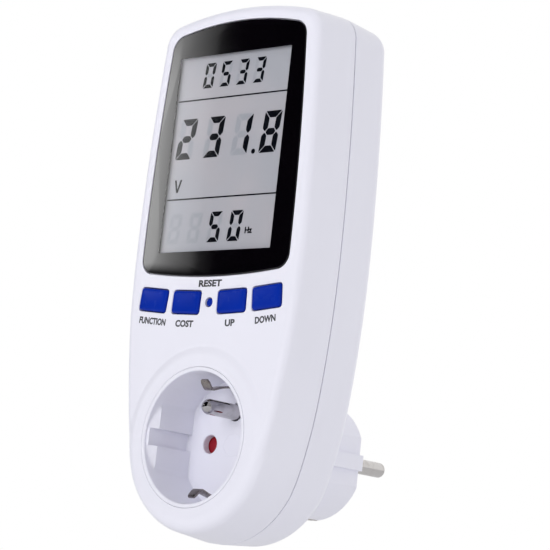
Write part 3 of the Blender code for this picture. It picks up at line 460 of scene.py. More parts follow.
class Bench:
    """A material's node tree, with short calls that add and join its nodes."""

    def __init__(self, name: str) -> None:
        """Makes a material of that name with its Principled shader.

        Args:
            name: the material's name.
        """
        self.material = bpy.data.materials.new(name)
        self.material.use_nodes = True
        self.tree = self.material.node_tree
        self.shader = self.tree.nodes["Principled BSDF"]
        self.output = self.tree.nodes["Material Output"]
        self.place = self.add("ShaderNodeTexCoord").outputs["Object"]

    def add(self, kind: str, **values: object) -> bpy.types.Node:
        """Adds a node and sets its properties and its input sockets.

        Args:
            kind: the node's type.
            values: properties by name, or input sockets by name with _ for a space.

        Returns:
            The node.
        """
        node = self.tree.nodes.new(kind)
        for key, value in values.items():
            if hasattr(node, key):
                setattr(node, key, value)
            else:
                node.inputs[key.replace("_", " ")].default_value = value
        return node

    def join(self, source: bpy.types.NodeSocket, target: bpy.types.NodeSocket) -> None:
        """Links an output to an input."""
        self.tree.links.new(source, target)

    def noise(self, size: float, detail: float = 3.0, stretch: Sequence[float] = (1, 1, 1)
              ) -> bpy.types.NodeSocket:
        """A noise pattern whose features are about `size` metres across.

        Args:
            size: the size of a feature.
            detail: how many finer octaves it has.
            stretch: how much finer it is along each axis.

        Returns:
            The noise's value, from 0 to 1.
        """
        mapping = self.add("ShaderNodeMapping", Scale=tuple(stretch))
        noise = self.add("ShaderNodeTexNoise", Scale=1.0 / size, Detail=detail, Roughness=0.55)
        self.join(self.place, mapping.inputs["Vector"])
        self.join(mapping.outputs["Vector"], noise.inputs["Vector"])
        return noise.outputs["Fac"]

    def ranged(
        self, value: bpy.types.NodeSocket, low: float, high: float
    ) -> bpy.types.NodeSocket:
        """Maps the middle of a 0 to 1 value to a range.

        Args:
            value: what it reads.
            low, high: the range's ends.

        Returns:
            The mapped value.
        """
        node = self.add(
            "ShaderNodeMapRange", From_Min=0.3, From_Max=0.7, To_Min=low, To_Max=high
        )
        self.join(value, node.inputs["Value"])
        return node.outputs["Result"]

    def ramp(
        self, value: bpy.types.NodeSocket, stops: Sequence[tuple[float, Sequence[float]]]
    ) -> bpy.types.NodeSocket:
        """A colour ramp over a value.

        Args:
            value: what it reads.
            stops: (position, colour) pairs.

        Returns:
            The colour.
        """
        node = self.add("ShaderNodeValToRGB")
        elements = node.color_ramp.elements
        while len(elements) < len(stops):
            elements.new(0.5)
        for element, (position, colour) in zip(elements, stops):
            element.position, element.color = position, (*colour, 1.0)
        self.join(value, node.inputs["Fac"])
        return node.outputs["Color"]

    def relief(self, value: bpy.types.NodeSocket, height: float, strength: float = 1.0) -> None:
        """Bumps the shader's normal by a height in metres.

        Args:
            value: the pattern.
            height: how high its bumps are.
            strength: how much of the bump shows.
        """
        bump = self.add("ShaderNodeBump", Distance=height, Strength=strength)
        self.join(value, bump.inputs["Height"])
        self.join(bump.outputs["Normal"], self.shader.inputs["Normal"])

    def fixed(self, **values: object) -> None:
        """Sets the shader's own sockets, by name with _ for a space."""
        for key, value in values.items():
            self.shader.inputs[key.replace("_", " ")].default_value = value


@dataclass(frozen=True)
class Finish:
    """A surface finish that can be made into a material."""

    name: str
    slot: Slot
    colour: tuple[float, float, float]
    roughness: float

    def material(self) -> bpy.types.Material:
        """The finish's material, made once."""
        return bpy.data.materials.get(self.name) or self.made()

    def made(self) -> bpy.types.Material:
        """Builds the material."""
        raise NotImplementedError


@dataclass(frozen=True)
class Moulding(Finish):
    """Injection-moulded plastic: a fine spark texture, faint flow marks and a soft gloss."""

    grain: float = 0.35 * MM
    relief: float = 0.003 * MM
    mottle: float = 0.03
    gloss_play: float = 0.05
    specular: float = 0.5

    def made(self) -> bpy.types.Material:
        """Builds the material.

        Returns:
            The material.
        """
        bench = Bench(self.name)
        flow = bench.noise(18 * MM, 4.0, (1.0, 1.6, 0.5))
        dark = [c * (1 - self.mottle) for c in self.colour]
        bright = [min(c * (1 + self.mottle), 1.0) for c in self.colour]
        bench.join(bench.ramp(flow, [(0.35, dark), (0.65, bright)]), bench.shader.inputs["Base Color"])
        grain = bench.noise(self.grain, 2.0)
        smear = bench.noise(6 * MM, 3.0)
        low, high = self.roughness - self.gloss_play, self.roughness + self.gloss_play
        bench.join(bench.ranged(smear, low, high), bench.shader.inputs["Roughness"])
        bench.relief(grain, self.relief)
        bench.fixed(Specular_IOR_Level=self.specular)
        return bench.material


@dataclass(frozen=True)
class Plating(Finish):
    """Metal with fine drawing marks along one axis and dulled patches."""

    along: tuple[float, float, float] = (1.0, 0.06, 1.0)
    relief: float = 0.004 * MM
    tarnish: tuple[float, float, float] = (0.4, 0.36, 0.32)

    def made(self) -> bpy.types.Material:
        """Builds the material.

        Returns:
            The material.
        """
        bench = Bench(self.name)
        patch = bench.noise(3.5 * MM, 4.0)
        colour = bench.ramp(patch, [(0.3, self.tarnish), (0.55, self.colour)])
        bench.join(colour, bench.shader.inputs["Base Color"])
        lines = bench.noise(0.25 * MM, 2.0, self.along)
        bench.join(
            bench.ranged(lines, self.roughness * 0.7, self.roughness * 1.5),
            bench.shader.inputs["Roughness"],
        )
        bench.relief(lines, self.relief)
        bench.fixed(Metallic=1.0, Anisotropic=0.3)
        return bench.material


@dataclass(frozen=True)
class Laminate(Finish):
    """A circuit board: glass weave under the mask, tracks and tinned pads."""

    track: tuple[float, float, float] = (0.05, 0.35, 0.14)
    pitch: float = 2.5 * MM

    def made(self) -> bpy.types.Material:
        """Builds the material.

        Returns:
            The material.
        """
        bench = Bench(self.name)
        cells = bench.add("ShaderNodeTexVoronoi", feature="DISTANCE_TO_EDGE", Scale=1 / self.pitch,
                          Randomness=0.35)
        bench.join(bench.place, cells.inputs["Vector"])
        ramp = bench.ramp(
            cells.outputs["Distance"], [(0.0, self.track), (0.06, self.track), (0.1, self.colour)]
        )
        bench.join(ramp, bench.shader.inputs["Base Color"])
        weave = bench.add("ShaderNodeTexWave", wave_type="BANDS", bands_direction="DIAGONAL",
                          Scale=900.0, Distortion=0.6)
        bench.join(bench.place, weave.inputs["Vector"])
        bench.join(bench.ranged(weave.outputs["Fac"], self.roughness, self.roughness + 0.15),
                   bench.shader.inputs["Roughness"])
        bench.relief(weave.outputs["Fac"], 0.01 * MM)
        return bench.material


@dataclass(frozen=True)
class CrystalFilm(Finish):
    """The display's silvery reflector seen through the polariser, with a faint painted glow (emission)
    that lifts the shade the window's border casts on it.
    """

    cool: tuple[float, float, float] = (0.43, 0.44, 0.49)
    # lit: strength of a painted glow, emission that stands in for light and fills the shade under the
    # window's border
    lit: float = 0.14

    def made(self) -> bpy.types.Material:
        """Builds the material.

        Returns:
            The material.
        """
        bench = Bench(self.name)
        cloud = bench.noise(24 * MM, 2.0)
        speck = bench.noise(0.12 * MM, 2.0)
        tint = bench.ramp(cloud, [(0.3, self.cool), (0.7, self.colour)])
        bench.join(tint, bench.shader.inputs["Base Color"])
        # painted light: the reflector's tint also glows, to brighten the panel where the border shades
        # it
        bench.join(tint, bench.shader.inputs["Emission Color"])
        bench.fixed(Emission_Strength=self.lit)
        bench.join(bench.ranged(speck, self.roughness - 0.05, self.roughness + 0.08),
                   bench.shader.inputs["Roughness"])
        bench.relief(speck, 0.002 * MM)
        bench.fixed(Specular_IOR_Level=0.25)
        return bench.material


@dataclass(frozen=True)
class ClearWindow(Finish):
    """A clear plastic window: see-through, with a gloss that grows at a glancing angle."""

    clearness: float = 0.96

    def made(self) -> bpy.types.Material:
        """Builds the material.

        Returns:
            The material.
        """
        bench = Bench(self.name)
        tree = bench.tree
        tree.nodes.remove(bench.shader)
        clear = bench.add("ShaderNodeBsdfTransparent")
        clear.inputs["Color"].default_value = (self.clearness,) * 3 + (1.0,)
        gloss = bench.add("ShaderNodeBsdfGlossy", Roughness=self.roughness)
        rub = bench.noise(0.8 * MM, 3.0, (1, 1, 0.2))
        bench.join(bench.ranged(rub, self.roughness * 0.6, self.roughness * 1.6),
                   gloss.inputs["Roughness"])
        facing = bench.add("ShaderNodeFresnel", IOR=1.49)
        geometry = bench.add("ShaderNodeNewGeometry")
        outer = bench.add("ShaderNodeMath", operation="SUBTRACT")
        outer.inputs[0].default_value = 1.0
        bench.join(geometry.outputs["Backfacing"], outer.inputs[1])
        gloss_share = bench.add("ShaderNodeMath", operation="MULTIPLY")
        bench.join(facing.outputs["Fac"], gloss_share.inputs[0])
        bench.join(outer.outputs["Value"], gloss_share.inputs[1])
        mix = bench.add("ShaderNodeMixShader")
        bench.join(gloss_share.outputs["Value"], mix.inputs["Fac"])
        bench.join(clear.outputs["BSDF"], mix.inputs[1])
        bench.join(gloss.outputs["BSDF"], mix.inputs[2])
        bench.join(mix.outputs["Shader"], bench.output.inputs["Surface"])
        return bench.material


WHITE = Moulding("white_case", Slot.WHITE, (0.855, 0.852, 0.945), 0.3, mottle=0.006,
                 gloss_play=0.015)
BLUE = Moulding("blue_key", Slot.BLUE, (0.0012, 0.024, 0.345), 0.25, mottle=0.05,
                specular=0.09)
RED = Moulding("red_shutter", Slot.RED, (0.3, 0.006, 0.016), 0.35, mottle=0.08)
GREY = Moulding("grey_moulding", Slot.GREY, (0.3, 0.31, 0.33), 0.5)
BLACK = Moulding("black_moulding", Slot.BLACK, (0.03, 0.03, 0.035), 0.5)
BORDER = Moulding("window_print", Slot.LENS, (0.0015, 0.001, 0.002), 0.035, grain=1.2 * MM,
                  relief=0.0002 * MM, mottle=0.1, gloss_play=0.01)
PANE = ClearWindow("window_clear", Slot.LENS, (1.0, 1.0, 1.0), 0.03)
FILM = CrystalFilm("lcd_reflector", Slot.LCD, (0.48, 0.465, 0.505), 0.42)
SEGMENT = Moulding("lcd_dark_segment", Slot.LCD, (0.002, 0.003, 0.007), 0.45, mottle=0.2,
                   specular=0.08)
GHOST = Moulding("lcd_idle_segment", Slot.LCD, (0.43, 0.445, 0.5), 0.45, mottle=0.03)
INK = Moulding("legend_ink", Slot.BLACK, (0.05, 0.05, 0.06), 0.55, grain=0.1 * MM, mottle=0.25)
DIFFUSER = Moulding("light_diffuser", Slot.DIFFUSER, (0.75, 0.77, 0.8), 0.5, grain=0.2 * MM,
                    relief=0.02 * MM)
NICKEL = Plating("nickel_plate", Slot.NICKEL, (0.6, 0.58, 0.57), 0.15, relief=0.001 * MM,
                 tarnish=(0.5, 0.47, 0.45))
# a darker copy of the nickel: painted shade and painted dark reflections for the clips deep in the
# socket
SHADED_NICKEL = Plating("shaded_nickel", Slot.NICKEL, (0.3, 0.27, 0.26), 0.22, relief=0.002 * MM,
                 tarnish=(0.2, 0.17, 0.16))
CHROME = Plating("bright_chrome", Slot.NICKEL, (0.5, 0.485, 0.5), 0.06, relief=0.0004 * MM,
                 tarnish=(0.4, 0.39, 0.4))
BRASS = Plating("brass_strip", Slot.BRASS, (0.72, 0.53, 0.25), 0.28)
STEEL = Plating("zinc_steel", Slot.STEEL, (0.55, 0.55, 0.57), 0.3, along=(1.0, 1.0, 0.1))
COPPER = Plating("copper_bar", Slot.COPPER, (0.72, 0.4, 0.25), 0.3)
GREEN_BOARD = Laminate("green_laminate", Slot.GREEN_BOARD, (0.02, 0.2, 0.08), 0.35)
TAN_BOARD = Laminate("tan_laminate", Slot.TAN_BOARD, (0.48, 0.36, 0.17), 0.5,
                     track=(0.6, 0.4, 0.2), pitch=5 * MM)
RUBBER = Moulding("zebra_rubber", Slot.RUBBER, (0.05, 0.05, 0.055), 0.8, grain=0.15 * MM)
YELLOW = Moulding("yellow_wrap", Slot.YELLOW, (0.72, 0.56, 0.1), 0.4, mottle=0.06)
SLEEVE = Moulding("lead_sleeving", Slot.SLEEVE, (0.05, 0.12, 0.4), 0.5)
BY_SLOT = {
    finish.slot.value: finish
    for finish in (WHITE, BLUE, RED, GREY, BLACK, BORDER, FILM, DIFFUSER, NICKEL, BRASS, STEEL,
                   COPPER, GREEN_BOARD, TAN_BOARD, RUBBER, YELLOW, SLEEVE)
}


def dress(
    obj: bpy.types.Object, finish: Finish, body: str = CASE_BODY, replaces: Sequence[str] = (),
    sharp: float = 32.0, weighted: bool = False,
) -> bpy.types.Object:
    """Puts a finished piece in the scene with its finish, its body and the nodes it stands for.

    Args:
        obj: the unlinked object.
        finish: its finish.
        body: the body that it rides on.
        replaces: CAD nodes that it stands for.
        sharp: edges over this angle in degrees stay sharp.
        weighted: whether flat faces keep their shading next to rounded edges.

    Returns:
        The object.
    """
    bpy.context.scene.collection.objects.link(obj)
    obj.data.materials.clear()
    obj.data.materials.append(finish.material())
    obj.data.shade_smooth()
    obj.data.set_sharp_from_angle(angle=math.radians(sharp))
    if weighted:
        modifier = obj.modifiers.new("flat_shading", "WEIGHTED_NORMAL")
        modifier.keep_sharp = True
        modifier.weight = 80
    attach(obj, body)
    if replaces:
        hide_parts(*replaces)
    LOG.info("%s: %d faces", obj.name, len(obj.data.polygons))
    return obj


# ---------------------------------------------------------------- the case
@dataclass
class CaseForm:
    """The case's sizes and the outlines that its pieces share."""

    rear_y: float = -23.5 * MM
    parting_y: float = -41.0 * MM
    face_y: float = -57.7 * MM
    rim_y: float = -58.5 * MM
    half_width: float = 36.25 * MM
    top_z: float = 134.7 * MM
    bowl_r: float = 30.3 * MM
    widest_z: float = 58.0 * MM
    waist_z: float = 6.0 * MM
    waist_inset: float = 3.65 * MM
    shoulder_inset: float = 2.75 * MM
    corner_r: float = 8.5 * MM
    shoulder_drop: float = 3.6 * MM
    top_arc_r: float = 118.0 * MM
    wall: float = 2.4 * MM
    side_draft: float = 0.9 * MM
    bowl_draft: float = 2.0 * MM
    front_fillet: float = 2.6 * MM
    rear_draft: float = 0.7 * MM
    rear_fillet: float = 5.0 * MM
    seam_land: float = 1.5 * MM
    seam_bevel: float = 0.15 * MM
    eased_z: float = 14 * MM
    plateau_r: float = 24.4 * MM
    ring_fillet: float = 4.4 * MM
    blend: float = 0.8 * MM
    lens_margin: float = 5.6 * MM
    lens_top_corner: float = 5.0 * MM
    lens_bottom_corner: float = 4.6 * MM
    lens_bottom_z: float = 49.2 * MM
    lens_bottom_arc_r: float = 230.0 * MM
    lens_thick: float = 1.2 * MM
    lens_ledge: float = 2.2 * MM
    key_row_z: float = 41.06 * MM
    key_arc_r: float = 248.0 * MM
    screws: tuple[tuple[float, float], ...] = (
        (-24.5 * MM, 22.4 * MM), (24.5 * MM, 22.4 * MM),
        (-26.0 * MM, 124.6 * MM), (26.0 * MM, 124.6 * MM),
    )

    def half_width_at(self, z: float) -> float:
        """The half width at a height beside or above the socket.

        Args:
            z: the height.

        Returns:
            The half width.
        """
        if z >= self.widest_z:
            rise = (z - self.widest_z) / (self.shoulder_z() - self.widest_z)
            return self.half_width - self.shoulder_inset * rise**2
        fall = (self.widest_z - z) / (self.widest_z - self.waist_z)
        return self.half_width - self.waist_inset * fall**2

    def shoulder_z(self) -> float:
        """The height where the sides meet the top corners."""
        return self.top_z - self.corner_r - self.shoulder_drop

    def crown(self, margin: float, radius: float) -> tuple[Loop, float]:
        """The right top corner and half of the top arc.

        Args:
            margin: how far inside the case's outline it is.
            radius: the corner's radius.

        Returns:
            Its points and the height of the corner's centre.
        """
        arc_r, arc_z = self.top_arc_r - margin, self.top_z - self.top_arc_r
        cz = self.shoulder_z()
        for _ in range(4):
            cx = self.half_width_at(cz) - margin - radius
            cz = arc_z + math.sqrt((arc_r - radius) ** 2 - cx**2)
        end = math.degrees(math.atan2(cz - arc_z, cx))
        corner = arc(cx, cz, radius, 0, end, 14)
        top = arc(0, arc_z, arc_r, end, 90, 26)
        top[-1, 0] = 0.0
        return np.vstack([corner[:-1], top]), cz

    def outline(self) -> Loop:
        """The case seen from the front.

        Returns:
            The closed outline.
        """
        bowl = arc(0, 0, self.bowl_r, -90, -13, 44)
        bowl[0, 0] = 0.0
        crown, corner_z = self.crown(0.0, self.corner_r)
        sides = [(self.half_width_at(z), z) for z in np.linspace(self.waist_z, corner_z, 90)[:-1]]
        waist_x = self.half_width_at(self.waist_z)
        link = np.linspace(bowl[-1], (waist_x, self.waist_z), 12)[1:-1]
        right = np.vstack([bowl, link, sides, crown])
        loop = mirrored(right)
        low = np.abs(loop[:, 1]) < self.eased_z
        for _ in range(30):
            eased = (np.roll(loop, 1, axis=0) + np.roll(loop, -1, axis=0)) / 2
            loop[low] += (eased[low] - loop[low]) * 0.5
        return loop

    def draft_at(self, z: float) -> float:
        """The front half's draft at a height: more round the bowl than at the sides.

        Args:
            z: the height.

        Returns:
            How far the front edge is drawn in.
        """
        rise = min(max((z - self.waist_z) / (self.key_row_z - self.waist_z), 0.0), 1.0)
        weight = 1 - rise * rise * (3 - 2 * rise)
        return self.side_draft + (self.bowl_draft - self.side_draft) * weight

    def bowl_y(self, radius: float) -> float:
        """The bowl's own surface at a distance from the socket's centre.

        Args:
            radius: the distance.

        Returns:
            Its Y.
        """
        if radius <= self.plateau_r:
            return self.rim_y
        edge = self.plateau_r + self.ring_fillet
        if radius < edge:
            reach = radius - self.plateau_r
            return self.rim_y + self.ring_fillet - math.sqrt(self.ring_fillet**2 - reach**2)
        top = self.rim_y + self.ring_fillet
        slope = (self.parting_y - self.seam_land - top) / (self.bowl_r - edge)
        return top + (radius - edge) * slope

    def front_y(self, x: float, z: float, body_y: float) -> float:
        """The front surface: the case's own height and the bowl's, blended.

        Args:
            x, z: the point.
            body_y: the case's own Y there.

        Returns:
            The blended Y.
        """
        bowl_y = self.bowl_y(math.hypot(x, z))
        overlap = max(self.blend - abs(body_y - bowl_y), 0.0) / self.blend
        return min(body_y, bowl_y) - overlap**2 * self.blend / 4

    def lens(self, grow: float = 0.0) -> Loop:
        """The display window's outline, grown or drawn in by an amount.

        Args:
            grow: the amount, negative to draw it in.

        Returns:
            The closed outline.
        """
        margin = self.lens_margin - grow
        corner = self.lens_bottom_corner + grow
        bottom_r = self.lens_bottom_arc_r + grow
        arc_z = self.lens_bottom_z + self.lens_bottom_arc_r
        cz = self.lens_bottom_z
        for _ in range(4):
            cx = self.half_width_at(cz) - margin - corner
            cz = arc_z - math.sqrt((bottom_r - corner) ** 2 - cx**2)
        start = math.degrees(math.atan2(cz - arc_z, cx))
        bottom = arc(0, arc_z, bottom_r, -90, start, 12)
        bottom[0, 0] = 0.0
        corner_points = arc(cx, cz, corner, start, 0, 12)[1:]
        crown, top_z = self.crown(margin, self.lens_top_corner + grow)
        sides = [(self.half_width_at(z) - margin, z) for z in np.linspace(cz, top_z, 40)[1:-1]]
        return mirrored(np.vstack([bottom, corner_points, sides, crown]))

    def key_place(self, x: float) -> tuple[float, float]:
        """Height and tilt of a key on the row's arc."""
        return self.key_row_z + x * x / (2 * self.key_arc_r), x / self.key_arc_r

    def drawn_in(self, loop: Loop, amount: Callable[[float], float]) -> Loop:
        """A loop drawn in by an amount that depends on each point's height."""
        inward = inward_normals(loop)
        return loop + inward * np.array([amount(z) for z in loop[:, 1]])[:, None]


@dataclass
class KeyForm:
    """The sizes of the keys and their openings."""

    xs: tuple[float, ...] = (-23.72 * MM, -9.51 * MM, 9.51 * MM, 23.72 * MM)
    width: float = 11.5 * MM
    height: float = 7.0 * MM
    corner: float = 1.0 * MM
    proud: float = 0.65 * MM
    crown: float = 0.1 * MM
    edge: float = 0.8 * MM
    flange: float = 0.8 * MM
    stem: float = 3.2 * MM
    stem_end_y: float = -52.4 * MM
    flange_y: float = -55.0 * MM
    reset_r: float = 1.25 * MM
    reset_sunk: float = 0.3 * MM


@dataclass
class FrontCover:
    """The front half of the case, with its ring, its openings and its bosses."""

    form: CaseForm
    keys: KeyForm
    socket_r: float = 21.3 * MM
    boss_r: float = 2.3 * MM
    bore_r: float = 1.5 * MM

    def holes(self) -> list[tuple[Loop, float]]:
        """The openings other than the display's: an outline and an edge radius each.

        Returns:
            The outlines with their edge radii.
        """
        form, keys = self.form, self.keys
        found = [(circle(self.socket_r), 0.15 * MM)]
        found.append((circle(keys.reset_r + GAP, 0, form.key_row_z, 32), 0.2 * MM))
        for x in keys.xs:
            z, tilt = form.key_place(x)
            loop = rectangle(keys.width + 2 * GAP, keys.height + 2 * GAP, keys.corner + GAP)
            found.append((turned_about(loop, tilt, x, z), 0.25 * MM))
        return found

    def outer_rows(self) -> list[tuple[Loop, Height]]:
        """The loops of the outside, from the seam round the front edge.

        Returns:
            Loops with their heights.
        """
        form = self.form
        outline = form.outline()
        parting = form.parting_y - GAP / 2
        land_y = form.parting_y - form.seam_land
        foot_y = form.face_y + form.front_fillet
        rows = [
            (grown(outline, -form.seam_bevel), at(parting)),
            (outline, at(parting - form.seam_bevel)),
            (outline, at(land_y)),
        ]

        def row(draft_share: float, drawn: float, body_y: float) -> None:
            """Adds a loop with a share of the draft, drawn in further by an amount."""
            loop = form.drawn_in(outline, lambda z: form.draft_at(z) * draft_share + drawn)
            rows.append((loop, lambda x, z: form.front_y(x, z, body_y)))

        for share in (0.2, 0.4, 0.6, 0.8, 0.92, 1.0):
            row(share, 0.0, land_y + (foot_y - land_y) * share)
        steps = 9
        for i in range(1, steps + 1):
            angle = math.pi / 2 * i / steps
            row(
                1.0, form.front_fillet * (1 - math.cos(angle)),
                foot_y - form.front_fillet * math.sin(angle),
            )
        row(1.0, form.front_fillet + FACE_LAP, form.face_y)
        return rows

    def surface_points(self) -> np.ndarray:
        """Points for the front face: rings about the socket and a loose grid elsewhere.

        Returns:
            Rows of (x, z).
        """
        form = self.form
        radii = [21.9, 22.6, 23.4, 24.0, 24.4, 24.8, 25.2, 25.6, 26.0, 26.4, 26.8, 27.2, 27.6,
                 28.0, 28.6]
        rings = [circle(r * MM, steps=120) for r in radii]
        xs, zs = np.meshgrid(np.arange(-34, 35, 4.0) * MM, np.arange(-30, 134, 4.0) * MM)
        grid = np.column_stack([xs.ravel(), zs.ravel()])
        grid = grid[np.hypot(grid[:, 0], grid[:, 1]) > 30.5 * MM]
        return np.vstack([*rings, grid])

    def build(self) -> bpy.types.Object:
        """Makes the cover and dresses it.

        Returns:
            The cover.
        """
        form = self.form
        skin = Skin()
        inner_y = form.face_y + form.wall
        rows = self.outer_rows()
        outline = form.outline()
        parting = form.parting_y - GAP / 2
        skin.path(rows)
        face_loop = rows[-1][0]

        def face(x: float, z: float) -> float:
            """The front surface's Y over a point."""
            return form.front_y(x, z, form.face_y)

        inside_rows = [
            (grown(outline, -form.seam_bevel), at(parting)),
            (grown(outline, -form.wall), at(parting)),
            (form.drawn_in(outline, lambda z: form.draft_at(z) + form.wall), at(inner_y + MM)),
            (form.drawn_in(outline, lambda z: form.draft_at(z) + form.wall + 0.9 * MM), at(inner_y)),
        ]
        skin.path(inside_rows)
        front_loops, back_loops = [], []
        for loop, edge in self.holes():
            edge_rows = skin.edge_rows(loop, edge, face, 1.0)
            skin.path(edge_rows + [(loop, at(inner_y))])
            front_loops.append(edge_rows[0][0])
            back_loops.append(loop)
        seat = form.lens(GAP)
        window = form.lens(-form.lens_ledge)
        ledge_y = form.face_y + form.lens_thick + GAP
        edge_rows = skin.edge_rows(seat, 0.2 * MM, face, 1.0)
        skin.path(edge_rows + [(seat, at(ledge_y)), (window, at(ledge_y)), (window, at(inner_y))])
        front_loops.append(edge_rows[0][0])
        back_loops.append(window)
        extra = clear_of(self.surface_points(), [face_loop, *front_loops], FACE_LAP)
        skin.fill(face_loop, front_loops, face, extra)
        skin.fill(inside_rows[-1][0], back_loops, at(inner_y))
        cover = skin.close("front_cover")
        bosses = [
            revolved(f"boss_{i}", [
                (0, form.face_y + form.wall / 2), (self.boss_r, form.face_y + form.wall / 2),
                (self.boss_r, parting - GAP), (self.bore_r, parting - GAP),
                (self.bore_r, inner_y + 3 * MM), (0, inner_y + 3 * MM)], x, z, 28)
            for i, (x, z) in enumerate(form.screws)
        ]
        cover = combined(cover, bosses, "UNION")
        return dress(cover, WHITE, replaces=["front_shell"], weighted=True)


@dataclass
class PlugForm:
    """The plug's sizes."""

    radius: float = 18.7 * MM
    flat: float = 17.0 * MM
    rib_half: float = 2.4 * MM
    rib_reach: float = 18.55 * MM
    edge: float = 1.0 * MM
    foot: float = 0.7 * MM
    bore_r: float = 16.2 * MM
    face_wall: float = 3.2 * MM
    pin_x: float = 9.5 * MM
    pin_r: float = 2.4 * MM
    pin_length: float = 19.0 * MM
    earth_z: float = 10.0 * MM
    sleeve_r: float = 3.4 * MM
    sleeve_bore_r: float = 2.6 * MM
    strip_width: float = 5.5 * MM
    strip_thick: float = 0.8 * MM


def coupler_loop(
    radius: float, flat: float, key_half: float, reach: float, flat_end: float
) -> Loop:
    """The section of a plug or of its recess: round, with a flat and a key on each side.

    Args:
        radius: the round part's radius.
        flat: the X of the flat.
        key_half: half the key's height.
        reach: the X of the key's end.
        flat_end: the height where the flat meets the round part.

    Returns:
        The closed outline, always with as many points.
    """
    def round_x(z: float) -> float:
        """The X of the round part at a height."""
        return math.sqrt(max(radius**2 - z**2, 0.0))

    key = [(min(reach, round_x(z)), z) for z in np.linspace(0, key_half, 4)]
    side_x = min(flat, round_x(key_half))
    step = [(x, key_half) for x in np.linspace(key[-1][0], side_x, 4)[1:]]
    side = [(min(flat, round_x(z)), z) for z in np.linspace(key_half, flat_end, 10)[1:]]
    start = math.degrees(math.atan2(flat_end, round_x(flat_end)))
    top = arc(0, 0, radius, start, 90, 24)[1:]
    top[-1, 0] = 0.0
    right_top = np.vstack([key, step, side, top])
    right_bottom = (right_top * np.array([1.0, -1.0]))[:0:-1]
    return mirrored(np.vstack([right_bottom, right_top]))


